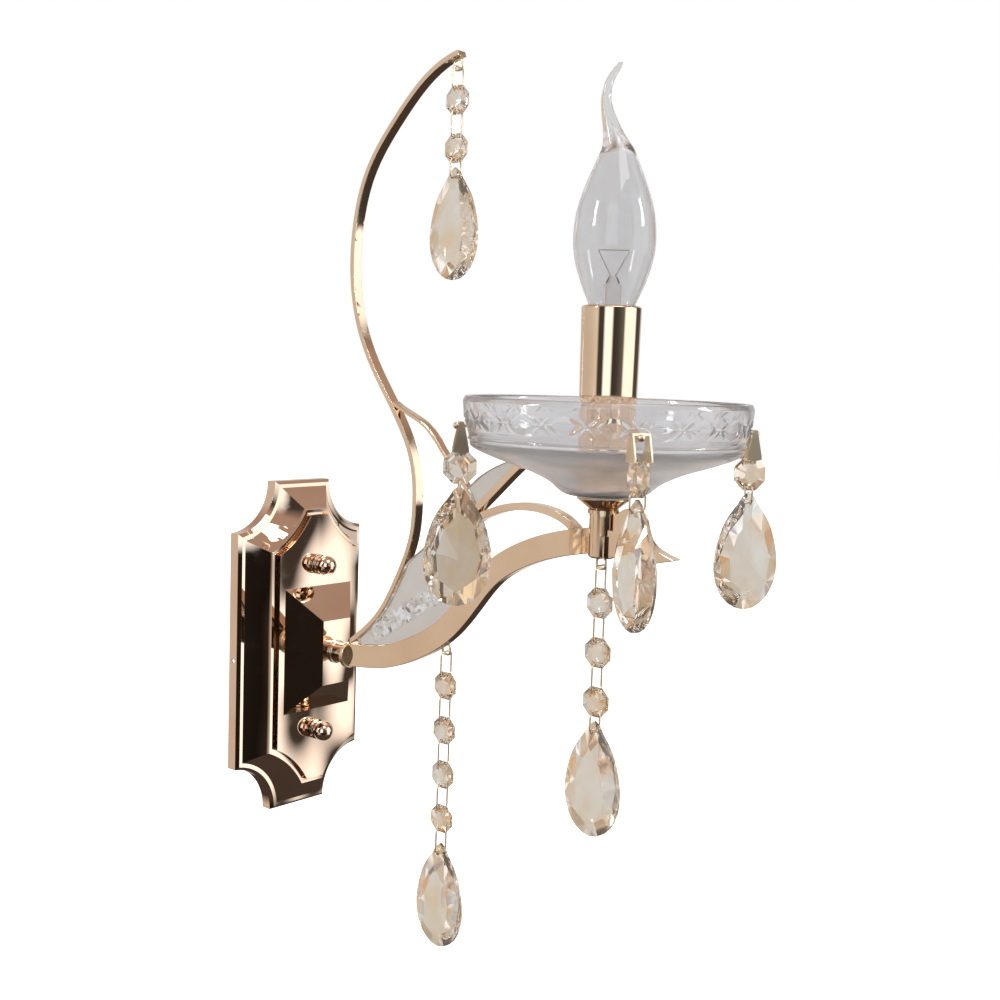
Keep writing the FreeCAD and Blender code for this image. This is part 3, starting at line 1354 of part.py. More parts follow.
build_backplate()
build_wall_bracket()
for side_name, direction in (("upper", 1), ("lower", -1)):
    build_stud(f"stud_{side_name}", direction)
    build_cap_nut(f"cap_nut_{side_name}", direction)
build_terminal_block()
build_earth_screw()
build_arm_fixing()
arm = build_lower_arm()
scroll_strap = build_straps(arm)
pillar = build_pillar(arm)
build_ring("scroll_ring", scroll_ring_reach, scroll_ring_height, scroll_strap)
build_ring("arm_ring", arm_ring_reach, arm_ring_height, arm)
build_ring("pillar_ring", S.arm_reach, pillar_ring_height, pillar)
build_bowl_clamp()
build_bowl()
build_candle()
build_lamp_glass()
build_lamp_inside()
build_string("scroll", scroll_ring_reach, scroll_ring_height, S.scroll_string_gap, S.scroll_drop_gap,
             SCROLL_OCTAGONS)
build_string("arm", arm_ring_reach, arm_ring_height, S.arm_string_gap, S.arm_drop_gap, ARM_OCTAGONS)
build_string("pillar", S.arm_reach, pillar_ring_height, S.pillar_string_gap, S.pillar_drop_gap,
             PILLAR_OCTAGONS)
for hole_side in STRING_HOLE_ANGLES:
    build_bowl_string(hole_side)
check_and_export()
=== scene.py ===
import json
import logging
import math
from dataclasses import dataclass, field
from enum import Enum
from typing import Iterable, Mapping, Sequence

import bmesh
import bpy
from mathutils import Matrix, Vector

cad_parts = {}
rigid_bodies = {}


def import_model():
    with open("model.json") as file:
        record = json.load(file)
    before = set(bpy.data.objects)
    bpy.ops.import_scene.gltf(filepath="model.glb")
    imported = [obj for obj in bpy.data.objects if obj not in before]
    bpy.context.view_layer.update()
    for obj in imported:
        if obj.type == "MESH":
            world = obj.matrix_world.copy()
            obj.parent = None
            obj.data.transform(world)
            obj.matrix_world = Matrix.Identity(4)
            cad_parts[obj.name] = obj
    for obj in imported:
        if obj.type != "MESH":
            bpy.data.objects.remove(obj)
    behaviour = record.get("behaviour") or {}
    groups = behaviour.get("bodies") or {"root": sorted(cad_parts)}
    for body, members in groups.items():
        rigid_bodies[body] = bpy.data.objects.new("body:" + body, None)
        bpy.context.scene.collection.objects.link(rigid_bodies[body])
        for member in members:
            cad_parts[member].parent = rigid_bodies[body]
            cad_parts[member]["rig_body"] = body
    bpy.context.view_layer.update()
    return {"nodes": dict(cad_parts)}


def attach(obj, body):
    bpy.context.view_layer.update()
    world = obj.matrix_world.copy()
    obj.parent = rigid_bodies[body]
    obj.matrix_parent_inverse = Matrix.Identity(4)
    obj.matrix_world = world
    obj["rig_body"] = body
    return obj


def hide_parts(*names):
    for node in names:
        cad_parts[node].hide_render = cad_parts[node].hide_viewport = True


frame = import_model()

log = logging.getLogger("candelabra_wall_light")
Point2 = tuple[float, float]
Point3 = tuple[float, float, float]
Tone = tuple[float, float, float]
Tree = bpy.types.NodeTree
Socket = bpy.types.NodeSocket
NODES: dict[str, bpy.types.Object] = frame["nodes"]
LAMP_AXIS = Vector((0.0, -0.2025, 0.0))
WHITE = (1.0, 1.0, 1.0, 1.0)
WELD = 1e-6


class Finish(Enum):
    """The record's material slots that the pieces take their finishes from."""

    PLATE = "plate_gold"
    ARM = "arm_gold"
    CHAIN = "arm_gold_satin"
    ZINC = "zinc"
    TERMINAL = "terminal_plastic"
    GASKET = "gasket_rubber"
    BOWL = "bowl_glass"
    LEAF = "leaf_glass"
    CRYSTAL = "crystal"
    LAMP_GLASS = "lamp_clear_glass"
    LAMP_METAL = "lamp_metal"
    WIRE = "lamp_wire"
    HOLDER = "holder_plastic"

    @property
    def slot(self) -> str:
        """The record's slot that the finish belongs to."""
        return self.value.removesuffix("_satin")


class Side(Enum):
    """The three sides of the bowl that carry a string, with the degrees each string faces."""

    LEFT = 227.5
    FRONT = 337.5
    RIGHT = 415.5


# Nodes that groups, materials and the studio share


def opaque(tone: Tone) -> tuple[float, float, float, float]:
    """A tone as a full colour."""
    return (*tone, 1.0)


@dataclass(frozen=True)
class Nodes:
    """The shader nodes of one group, material or world."""

    tree: Tree

    def feed(self, socket: Socket, given: object) -> None:
        """Link an input to a socket, or set it to a plain value.

        Args:
            socket: The input.
            given: The socket or the value that it takes.
        """
        if isinstance(given, bpy.types.NodeSocket):
            self.tree.links.new(given, socket)
        else:
            socket.default_value = given

    def add(self, kind: str, output: str | int, given: Mapping[str | int, object],
            **settings: str) -> Socket:
        """Add a node, set it up and feed it.

        Args:
            kind: The kind of node.
            output: The output that is wanted.
            given: The socket or the plain value that each input takes.
            **settings: The node's own settings.

        Returns:
            That output.
        """
        node = self.tree.nodes.new(f"ShaderNode{kind}")
        for label, value in settings.items():
            setattr(node, label, value)
        for label, value in given.items():
            self.feed(node.inputs[label], value)
        return node.outputs[output]

    def math(self, operation: str, *given: object) -> Socket:
        """Work on one or two numbers."""
        return self.add("Math", 0, dict(enumerate(given)), operation=operation)

    def vector(self, operation: str, *given: object) -> Socket:
        """Work on two vectors."""
        output = "Value" if operation == "DOT_PRODUCT" else "Vector"
        return self.add("VectorMath", output, dict(enumerate(given)), operation=operation)

    def coordinates(self, kind: str = "Object") -> Socket:
        """The coordinates of the piece's own object, or others."""
        return self.add("TexCoord", kind, {})

    def noise(self, place: Socket, scale: object, detail: float) -> Socket:
        """Noise from 0 to 1 over the given coordinates."""
        return self.add("TexNoise", "Fac", {"Vector": place, "Scale": scale, "Detail": detail})

    def remap(self, value: Socket, low: float, high: float, at_low: float = 0.0,
              at_high: float = 1.0) -> Socket:
        """Map a value from one range to another and clamp it."""
        return self.add("MapRange", "Result", {"Value": value, "From Min": low, "From Max": high,
                                               "To Min": at_low, "To Max": at_high})

    def mixed(self, share: Socket, first: object, second: object) -> Socket:
        """Mix a share of the second colour into the first."""
        return self.add("Mix", "Result", {"Factor": share, "A": first, "B": second}, data_type="RGBA")

    def bumped(self, height: Socket, strength: object, distance: float) -> Socket:
        """Tilt the surface by a height over it."""
        return self.add("Bump", "Normal", {"Strength": strength, "Distance": distance, "Height": height})

    def ramp(self, value: Socket, stops: Iterable[tuple[float, Tone]]) -> Socket:
        """Turn a value into colours.

        Args:
            value: The value, from 0 to 1.
            stops: Place and tone of each stop.

        Returns:
            The colour at each value.
        """
        colour = self.add("ValToRGB", "Color", {"Fac": value})
        elements = colour.node.color_ramp.elements
        while len(elements) > 1:
            elements.remove(elements[-1])
        for number, (place, tone) in enumerate(stops):
            stop = elements[0] if number == 0 else elements.new(place)
            stop.position = place
            stop.color = opaque(tone)
        return colour


# Node groups and materials


@dataclass(frozen=True)
class SurfaceFlow:
    """A drift between two tones, a faint film and a soft ripple, shared by a family of finishes."""

    name: str
    cloud_detail: float
    film_scale: float
    film_detail: float
    film_full: float
    ripple_depth: float
    wave_scale: float | None = None
    cloud_range: Point2 = (0.35, 0.7)
    film_start: float = 0.5

    def group(self) -> Tree:
        """Build the node group. A ripple without a wave of its own follows the drift.

        Returns:
            A group that gives a colour, a roughness and a normal.
        """
        group = bpy.data.node_groups.new(self.name, "ShaderNodeTree")
        colour, number, vector = (f"NodeSocket{kind}" for kind in ("Color", "Float", "Vector"))
        for way, sockets in (("INPUT", {"Main": colour, "Drift": colour, "Scale": number, "Polish": number,
                                        "Film": number, "Ripple": number}),
                             ("OUTPUT", {"Color": colour, "Roughness": number, "Normal": vector})):
            for label, kind in sockets.items():
                group.interface.new_socket(label, in_out=way, socket_type=kind)
        given = group.nodes.new("NodeGroupInput").outputs
        result = group.nodes.new("NodeGroupOutput").inputs
        nodes = Nodes(group)
        place = nodes.coordinates()
        cloud = nodes.noise(place, given["Scale"], self.cloud_detail)
        wave = nodes.noise(place, self.wave_scale, 0.0) if self.wave_scale else cloud
        smear = nodes.noise(place, self.film_scale, self.film_detail)
        film = nodes.math("MULTIPLY", nodes.remap(smear, self.film_start, self.film_full), given["Film"])
        drift = nodes.remap(cloud, *self.cloud_range)
        nodes.feed(result["Color"], nodes.mixed(drift, given["Main"], given["Drift"]))
        nodes.feed(result["Roughness"], nodes.math("ADD", film, given["Polish"]))
        nodes.feed(result["Normal"], nodes.bumped(wave, given["Ripple"], self.ripple_depth))
        return group


PLATING = SurfaceFlow("PlatingFlow", cloud_detail=3.0, film_scale=120.0, film_detail=4.0, film_full=0.8,
                      ripple_depth=0.002, wave_scale=26.0).group()
GLASS = SurfaceFlow("GlassFlow", cloud_detail=2.0, film_scale=150.0, film_detail=3.0, film_full=0.75,
                    ripple_depth=0.0005).group()


def opened(material: bpy.types.Material) -> tuple[Nodes, Mapping[str, Socket]]:
    """A material's nodes and the inputs of its Principled BSDF."""
    tree = material.node_tree
    return Nodes(tree), next(node for node in tree.nodes if node.type == "BSDF_PRINCIPLED").inputs


def new_material(name: str, plain: Mapping[str, object]) -> bpy.types.Material:
    """Make a material with a Principled BSDF.

    Args:
        name: The material's name.
        plain: The shader's sockets that are the same all over the surface, with their values.

    Returns:
        The material.
    """
    material = bpy.data.materials.new(name)
    material.use_nodes = True
    shader = opened(material)[1]
    for label, value in plain.items():
        shader[label].default_value = value
    return material


@dataclass(frozen=True)
class FlowingFinish:
    """A finish whose tone drifts, with a faint film and a soft ripple on it."""

    name: str
    main: Tone
    drift: Tone
    film: float
    ripple: float

    def flowing(self, flow: Tree, plain: Mapping[str, object], scale: float,
                polish: float = 0.0) -> bpy.types.Material:
        """Make a material that a shared group drives. Without film or ripple, that socket stays plain.

        Args:
            flow: The group.
            plain: The shader's sockets that are the same all over the surface.
            scale: Scale of the drift.
            polish: Roughness where there is no film.

        Returns:
            The material.
        """
        material = new_material(self.name, plain)
        nodes, shader = opened(material)
        node = nodes.tree.nodes.new("ShaderNodeGroup")
        node.node_tree = flow
        for label, value in (("Main", opaque(self.main)), ("Drift", opaque(self.drift)), ("Scale", scale),
                             ("Polish", polish), ("Film", self.film), ("Ripple", self.ripple)):
            node.inputs[label].default_value = value
        nodes.feed(shader["Base Color"], node.outputs["Color"])
        nodes.feed(shader["Roughness"], node.outputs["Roughness"] if self.film else polish)
        if self.ripple:
            nodes.feed(shader["Normal"], node.outputs["Normal"])
        return material


@dataclass(frozen=True)
class PolishedPlating(FlowingFinish):
    """Bright plated metal with a slightly uneven tone and a faint haze."""

    polish: float
    scale: float = 38.0

    def make(self) -> bpy.types.Material:
        """Build the material."""
        return self.flowing(PLATING, {"Metallic": 1.0}, self.scale, self.polish)


@dataclass(frozen=True)
class ClearGlass(FlowingFinish):
    """Clear glass with a faint tint that drifts and a soft ripple. In the cut crystal the drift is painted
    reflection: amber patches in place of the gold that the crystal refracts.
    """

    index: float
    scale: float
    clearness: float

    def make(self) -> bpy.types.Material:
        """Build the material."""
        return self.flowing(GLASS, {"Transmission Weight": self.clearness, "IOR": self.index}, self.scale)


@dataclass(frozen=True)
class BowlGlass:
    """The bowl's glass: clear in its cut band and hazy in the moulded part below it."""

    base: ClearGlass
    haze_top: float = 0.1195
    haze: float = 0.24
    clear_roughness: float = 0.012
    fade: Point2 = (-0.004, 0.001)

    def make(self) -> bpy.types.Material:
        """Build the material.

        Returns:
            The finished material.
        """
        material = self.base.make()
        nodes, shader = opened(material)
        height = nodes.add("SeparateXYZ", "Z", {"Vector": nodes.coordinates()})
        low, high = (self.haze_top + reach for reach in self.fade)
        nodes.feed(shader["Roughness"], nodes.remap(height, low, high, self.haze, self.clear_roughness))
        return material


@dataclass(frozen=True)
class EngravedGlass:
    """The leaf's clear plate with a band of small chipped facets along a line."""

    base: ClearGlass
    start: Point2
    end: Point2
    band: float = 0.0048
    chips_per_metre: float = 420.0
    tilt: float = 0.55
    frost: float = 0.2
    clear_roughness: float = 0.01
    chip: Tone = (0.97, 0.985, 1.0)
    pale_range: Point2 = (0.42, 0.52)
    fade_from: float = 0.8

    def mask(self, nodes: Nodes, place: Socket) -> Socket:
        """Mark the band of chips.

        Args:
            nodes: The material's nodes.
            place: The coordinates on the plate.

        Returns:
            1 inside the band, falling to 0 at its edges.
        """
        (y0, z0), (y1, z1) = self.start, self.end
        length = math.hypot(y1 - y0, z1 - z0)
        along = Vector((0.0, (y1 - y0) / length, (z1 - z0) / length))
        across = Vector((0.0, along.z, -along.y))
        middle = Vector((0.0, (y0 + y1) / 2, (z0 + z1) / 2))
        masks = []
        for direction, reach in ((along, length / 2), (across, self.band)):
            at = nodes.vector("DOT_PRODUCT", place, direction)
            off = nodes.math("ABSOLUTE", nodes.math("SUBTRACT", at, middle.dot(direction)))
            masks.append(nodes.remap(off, reach * self.fade_from, reach, 1.0, 0.0))
        return nodes.math("MULTIPLY", *masks)

    def make(self) -> bpy.types.Material:
        """Build the material.

        Returns:
            The finished material.
        """
        material = self.base.make()
        nodes, shader = opened(material)
        place = nodes.coordinates()
        cut = self.mask(nodes, place)
        chip_tone = nodes.add("TexVoronoi", "Color", {"Scale": self.chips_per_metre, "Vector": place})
        from_middle = nodes.vector("SUBTRACT", place, chip_tone.node.outputs["Position"])
        lean = nodes.vector("SUBTRACT", chip_tone, (0.5, 0.5, 0.5))
        height = nodes.math("MULTIPLY", nodes.vector("DOT_PRODUCT", from_middle, lean), cut)
        pale = nodes.math("MULTIPLY", nodes.remap(chip_tone, *self.pale_range), cut)
        clear = shader["Base Color"].links[0].from_socket
        nodes.feed(shader["Base Color"], nodes.mixed(pale, clear, opaque(self.chip)))
        nodes.feed(shader["Roughness"], nodes.remap(cut, 0, 1, self.clear_roughness, self.frost))
        nodes.feed(shader["Normal"], nodes.bumped(height, 1.0, self.tilt))
        return material


@dataclass(frozen=True)
class MouldedFinish:
    """A plain moulded or drawn finish with fine grain."""

    name: str
    tone: Tone
    dark: Tone
    roughness: float
    metallic: float = 0.0
    grain: float = 500.0
    detail: float = 3.0
    uneven: float = 0.15
    tone_range: Point2 = (0.4, 0.7)
    rough_range: Point2 = (0.3, 0.7)

    def make(self) -> bpy.types.Material:
        """Build the material.

        Returns:
            The finished material.
        """
        material = new_material(self.name, {"Metallic": self.metallic})
        nodes, shader = opened(material)
        grain = nodes.noise(nodes.coordinates(), self.grain, self.detail)
        tone = nodes.mixed(nodes.remap(grain, *self.tone_range), opaque(self.tone), opaque(self.dark))
        rough = nodes.remap(grain, *self.rough_range, self.roughness, self.roughness + self.uneven)
        nodes.feed(shader["Base Color"], tone)
        nodes.feed(shader["Roughness"], rough)
        return material


Recipe = PolishedPlating | ClearGlass | BowlGlass | EngravedGlass | MouldedFinish
FINISHES: dict[Finish, Recipe] = {
    Finish.PLATE: PolishedPlating("rose_gold_plate", (0.93, 0.73, 0.58), (0.87, 0.66, 0.5),
                                  polish=0.03, film=0.04, ripple=0.9),
    Finish.ARM: PolishedPlating("champagne_plate", (0.94, 0.76, 0.58), (0.88, 0.68, 0.49),
                                polish=0.05, film=0.06, ripple=0.05),
    Finish.CHAIN: PolishedPlating("satin_gold", (0.95, 0.8, 0.6), (0.88, 0.7, 0.48),
                                  polish=0.3, film=0.1, ripple=0.3),
    Finish.LAMP_METAL: PolishedPlating("lamp_brass", (0.86, 0.7, 0.42), (0.76, 0.58, 0.32),
                                       polish=0.16, film=0.12, ripple=0.1),
    Finish.ZINC: MouldedFinish("zinc_plating", (0.62, 0.63, 0.66), (0.5, 0.5, 0.52), 0.35, metallic=1.0),
    Finish.WIRE: MouldedFinish("lamp_wire", (0.62, 0.61, 0.6), (0.5, 0.48, 0.46), 0.3, metallic=1.0),
    Finish.TERMINAL: MouldedFinish("terminal_plastic", (0.85, 0.84, 0.8), (0.8, 0.79, 0.74), 0.45),
    Finish.GASKET: MouldedFinish("gasket_rubber", (0.62, 0.61, 0.58), (0.54, 0.53, 0.5), 0.6),
    Finish.HOLDER: MouldedFinish("holder_plastic", (0.86, 0.84, 0.77), (0.81, 0.79, 0.71), 0.4),
    # The crystal's amber drift is painted reflection: patches of the gold arm's colour, which the clear
    # crystal shows only by refraction.
    Finish.CRYSTAL: ClearGlass("cut_crystal", (0.9, 0.87, 0.81), (0.89, 0.70, 0.48),
                               index=1.52, scale=75.0, film=0.0, ripple=0.0, clearness=0.92),
    Finish.LAMP_GLASS: ClearGlass("lamp_glass", (0.915, 0.917, 0.925), (0.895, 0.897, 0.907),
                                  index=1.46, scale=40.0, film=0.01, ripple=0.03, clearness=0.93),
    Finish.BOWL: BowlGlass(ClearGlass("bowl_glass", (0.93, 0.932, 0.948), (0.91, 0.912, 0.93),
                                      index=1.48, scale=50.0, film=0.03, ripple=0.05, clearness=0.88)),
    Finish.LEAF: EngravedGlass(ClearGlass("leaf_glass", (0.77, 0.72, 0.66), (0.7392, 0.6912, 0.6336),
                                          index=1.49, scale=45.0, film=0.05, ripple=0.05, clearness=0.9),
                               start=(-0.060, 0.0125), end=(-0.110, 0.0427)),
}
MATERIALS: dict[Finish, bpy.types.Material] = {finish: recipe.make() for finish, recipe in FINISHES.items()}


# Mesh helpers


def in_scene(name: str, data: bpy.types.ID) -> bpy.types.Object:
    """Put an object into the scene.

    Args:
        name: The object's name.
        data: Its mesh, light or camera.

    Returns:
        The new object.
    """
    item = bpy.data.objects.new(name, data)
    bpy.context.scene.collection.objects.link(item)
    return item


def as_mesh(work: bmesh.types.BMesh, name: str) -> bpy.types.Mesh:
    """Turn finished modelling into a mesh.

    Args:
        work: The modelling, which is freed.
        name: The mesh's name.

    Returns:
        The new mesh.
    """
    mesh = bpy.data.meshes.new(name)
    work.to_mesh(mesh)
    work.free()
    return mesh


def smooth_mesh(work: bmesh.types.BMesh, name: str) -> bpy.types.Mesh:
    """Turn finished modelling into a mesh that is shaded smooth, its faces turned outwards.

    Args:
        work: The modelling, which is freed.
        name: The mesh's name.

    Returns:
        The new mesh.
    """
    bmesh.ops.recalc_face_normals(work, faces=work.faces)
    mesh = as_mesh(work, name)
    mesh.shade_smooth()
    return mesh


def dress_as(piece: bpy.types.Object, finish: Finish) -> None:
    """Give a piece the material of a finish.

    Args:
        piece: The piece.
        finish: Its finish.
    """
    piece.data.materials.clear()
    piece.data.materials.append(MATERIALS[finish])


def add_piece(name: str, mesh: bpy.types.Mesh, finish: Finish, body: str, node: str) -> bpy.types.Object:
    """Put a mesh into the scene as a piece of the light.

    Args:
        name: The piece's name.
        mesh: Its mesh, in the frame's metres.
        finish: Its finish.
        body: The body that it rides on.
        node: The CAD node that it replaces.

    Returns:
        The new object.
    """
    piece = in_scene(name, mesh)
    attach(piece, body)
    dress_as(piece, finish)
    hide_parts(node)
    log.info("%s: %d faces on %s", name, len(mesh.polygons), body)
    return piece


def dress(finish: Finish, *nodes: str) -> None:
    """Give CAD nodes a finish and leave their shape.

    Args:
        finish: The finish.
        *nodes: The CAD nodes.
    """
    for node in nodes:
        dress_as(NODES[node], finish)
        log.info("%s: dressed as %s", node, finish.value)


def soften(node: str, finish: Finish, width: float, segments: int = 3, angle: float = 32.0,
           flat: float = 0.03) -> None:
    """Show a copy of a CAD node, with its edges rounded over, in the node's place.

    Args:
        node: The CAD node.
        finish: Its finish.
        width: Width of the rounding, in metres.
        segments: Steps across the rounding.
        angle: Edges sharper than this many degrees are rounded.
        flat: Faces that meet at less than this many degrees are joined first.
    """
    name = f"{node}_rounded"
    mesh = NODES[node].data.copy()
    mesh.name = name
    work = bmesh.new()
    work.from_mesh(mesh)
    bmesh.ops.remove_doubles(work, verts=work.verts, dist=WELD)
    bmesh.ops.dissolve_limit(work, angle_limit=math.radians(flat), verts=work.verts, edges=work.edges)
    work.to_mesh(mesh)
    work.free()
    for attribute in [item.name for item in mesh.attributes if item.name.startswith("custom_normal")]:
        mesh.attributes.remove(mesh.attributes[attribute])
    mesh.shade_smooth()
    piece = add_piece(name, mesh, finish, NODES[node]["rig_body"], node)
    round_over = piece.modifiers.new("round_over", "BEVEL")
    round_over.width = width
    round_over.segments = segments
    round_over.limit_method = "ANGLE"
    round_over.angle_limit = math.radians(angle)
    round_over.harden_normals = True


def smooth_points(points: Sequence[tuple[float, ...]], steps: int) -> list[tuple[float, ...]]:
    """Run a smooth curve through points.

    Args:
        points: The points that it passes.
        steps: Steps between one point and the next.

    Returns:
        The points of the curve, both ends included.
    """
    line: list[tuple[float, ...]] = []
    last = len(points) - 1
    for number in range(last):
        near = [points[min(max(number + step, 0), last)] for step in (-1, 0, 1, 2)]
        for step in range(steps):
            t = step / steps
            line.append(tuple(
                0.5 * (2 * b + (c - a) * t + (2 * a - 5 * b + 4 * c - d) * t * t
                       + (3 * b - a - 3 * c + d) * t ** 3)
                for a, b, c, d in zip(*near)))
    line.append(points[-1])
    return line


def offset_points(points: Sequence[Point2], distance: float) -> list[Point2]:
    """Move a line of points square to itself.

    Args:
        points: The line.
        distance: How far it moves to its left.

    Returns:
        The moved points.
    """
    moved: list[Point2] = []
    for number, (x, y) in enumerate(points):
        ax, ay = points[max(number - 1, 0)]
        bx, by = points[min(number + 1, len(points) - 1)]
        length = math.hypot(bx - ax, by - ay)
        moved.append((x - (by - ay) / length * distance, y + (bx - ax) / length * distance))
    return moved


# The light's sub-assemblies


@dataclass
class WallPlate:
    """The stamped backplate with its nuts, and the fixings behind it."""

    edge_round: float = 0.0009
    nut_round: float = 0.0003
    hidden: dict[Finish, tuple[str, ...]] = field(default_factory=lambda: {
        Finish.ZINC: ("wall_bracket", "stud_upper", "stud_lower", "arm_nipple", "nipple_locknut"),
        Finish.LAMP_METAL: ("earth_screw",), Finish.TERMINAL: ("terminal_block",)})

    def build(self) -> None:
        """Round the plate's stamped edges and the nuts, and dress the fixings."""
        soften("backplate", Finish.PLATE, self.edge_round, angle=20.0, flat=0.6)
        for node in ("cap_nut_upper", "cap_nut_lower"):
            soften(node, Finish.PLATE, self.nut_round, segments=2, angle=30.0)
        for finish, nodes in self.hidden.items():
            dress(finish, *nodes)


@dataclass
class BarArm:
    """The bent bar, the straps, the turned joints and the rings."""

    bar_round: float = 0.0009
    strap_round: float = 0.0006
    turned_round: float = 0.0004
    straps: tuple[str, ...] = ("upper_scroll", "inner_strap", "arch_brace", "leaf_rib")
    turned: tuple[str, ...] = ("arm_boss", "pillar", "cup_seat")
    rings: tuple[str, ...] = ("scroll_ring", "arm_ring", "pillar_ring")

    def build(self) -> None:
        """Round over the bar, the straps and the turned parts, and dress the rings."""
        soften("lower_arm", Finish.ARM, self.bar_round)
        for nodes, width in ((self.straps, self.strap_round), (self.turned, self.turned_round)):
            for node in nodes:
                soften(node, Finish.ARM, width)
        soften("arm_flange", Finish.CHAIN, self.turned_round)
        dress(Finish.CHAIN, *self.rings)


@dataclass
class ClearPlates:
    """The clear leaf between the straps and the clear blade beside the rib."""

    edge_round: float = 0.0005

    def build(self) -> None:
        """Round the edges of both plates."""
        for node in ("clear_leaf", "clear_blade"):
            soften(node, Finish.LEAF, self.edge_round)


@dataclass
class CutBowl:
    """The glass bowl with a band of pointed ovals and stars."""

    radius: float = 0.0624
    rim: float = 0.1374
    wall: float = 0.0036
    band_height: float = 0.018
    band_taper: float = 0.003
    band_steps: int = 44
    bend: Point2 = (0.06166, 0.128)
    lip: float = 0.0011
    foot: float = 0.0959
    foot_radius: float = 0.014
    bore: float = 0.0054
    ovals: int = 20
    oval_half_height: float = 0.0042
    oval_half_width: float = 0.0066
    oval_depth: float = 0.001
    oval_slope: float = 1.6
    star_depth: float = 0.0008
    star_leans: tuple[float, ...] = (0.0, 0.75, -0.75)
    star_half_width: float = 0.0006
    star_reach: float = 0.0048
    band_centre: float = 0.1275
    turn: float = math.radians(47.5 + 9.0)
    floor_edge: Point2 = (0.0012, 0.004)
    curve_steps: int = 6
    edge_steps: int = 3
    under: tuple[Point2, ...] = ((0.01697, 0.09648), (0.01997, 0.09818), (0.02496, 0.10213),
                                 (0.03494, 0.10677), (0.04805, 0.11113), (0.05772, 0.11541))
    around: int = 960
    nut_round: float = 0.0004

    def section(self) -> list[tuple[float, float, bool]]:
        """Work out the bowl's closed half section.

        Returns:
            Radius and height of each point, and whether it lies on the outside of the band.
        """
        waist = self.radius - self.band_taper
        low = self.rim - self.band_height
        lip, wall = self.lip, self.wall
        under = smooth_points([(self.foot_radius, self.foot), *self.under, (waist - lip / 2, low - lip)],
                              self.curve_steps)
        inside = offset_points(under, wall)
        inside[0] = (self.foot_radius, self.foot + wall)
        start, end = low + lip * 1.1, self.rim - lip * 2
        top_radius = self.radius - lip * 0.1
        band = []
        for step in range(self.band_steps + 1):
            height = start + (end - start) * step / self.band_steps
            lower = height < self.bend[1]
            r0, z0 = (waist, start) if lower else self.bend
            r1, z1 = self.bend if lower else (top_radius, end)
            band.append((r0 + (r1 - r0) * (height - z0) / (z1 - z0), height))
        top = smooth_points([(top_radius, end), (self.radius - lip * 0.5, self.rim - lip),
                             (self.radius - lip, self.rim - lip * 0.1), (self.radius - wall / 2, self.rim),
                             (self.radius - wall + lip * 0.4, self.rim - lip * 0.3),
                             (self.radius - wall, self.rim - lip * 2)], self.edge_steps)[1:]
        lip_line = smooth_points([(waist - lip / 2, low - lip), (waist + lip * 0.1, low - lip * 0.35),
                                  (waist + lip * 0.45, low), (waist + lip * 0.2, low + lip * 0.4),
                                  (waist, low + lip * 0.9)], self.edge_steps)[1:]
        across, up = self.floor_edge
        floor_line = smooth_points([(waist - wall + across, low + up), inside[-1]], self.edge_steps + 1)
        before = [(self.bore, self.foot), *under, *lip_line]
        after = [*top, *floor_line, *inside[-2::-1], (self.bore, self.foot + wall)]
        return [(*point, cut) for points, cut in ((before, False), (band, True), (after, False))
                for point in points]

    def depth(self, turn: float, height: float) -> float:
        """Depth of the cutting at a place on the band.

        Args:
            turn: Turn about the axis.
            height: Height above the frame's origin.

        Returns:
            How far the wheel has cut in.
        """
        pitch = 2 * math.pi / self.ovals
        local = ((turn - self.turn) / pitch + 0.5) % 1.0 - 0.5
        across = local * pitch * self.radius
        up = height - self.band_centre
        shape = 1 - (across / self.oval_half_width) ** 2
        deep = 0.0
        if shape > 0:
            edge = 1 - abs(up) / (self.oval_half_height * shape + 1e-9)
            if edge > 0:
                deep = self.oval_depth * min(1.0, edge * self.oval_slope)
        star_across = (local % 1.0 - 0.5) * pitch * self.radius
        for lean in self.star_leans:
            off = abs(up * math.cos(lean) - star_across * math.sin(lean)) / self.star_half_width
            along = abs(star_across * math.cos(lean) + up * math.sin(lean)) / self.star_reach
            if off < 1 and along < 1:
                deep = max(deep, self.star_depth * (1 - off) * (1 - along ** 4))
        return deep

    def mesh(self) -> bpy.types.Mesh:
        """Turn the section about the lamp's axis and take the cutting off its band.

        Returns:
            The mesh, shaded smooth.
        """
        section = self.section()
        work = bmesh.new()
        rings = []
        for step in range(self.around):
            turn = 2 * math.pi * step / self.around
            ring = []
            for radius, height, cut in section:
                reach = radius - (self.depth(turn, height) if cut else 0.0)
                ring.append(work.verts.new((reach * math.cos(turn) + LAMP_AXIS.x,
                                            reach * math.sin(turn) + LAMP_AXIS.y, height)))
            rings.append(ring)
        count = len(section)
        for step, ring in enumerate(rings):
            after = rings[(step + 1) % self.around]
            for number in range(count):
                follow = (number + 1) % count
                work.faces.new((ring[number], after[number], after[follow], ring[follow]))
        return smooth_mesh(work, "cut_bowl")

    def build(self) -> None:
        """Build the bowl with its cut band, and dress what clamps it."""
        add_piece("cut_bowl", self.mesh(), Finish.BOWL, "light", "glass_bowl")
        dress(Finish.GASKET, "bowl_gasket")
        dress(Finish.ARM, "bowl_washer", "threaded_rod")
        soften("clamp_nut", Finish.LAMP_METAL, self.nut_round, segments=2)


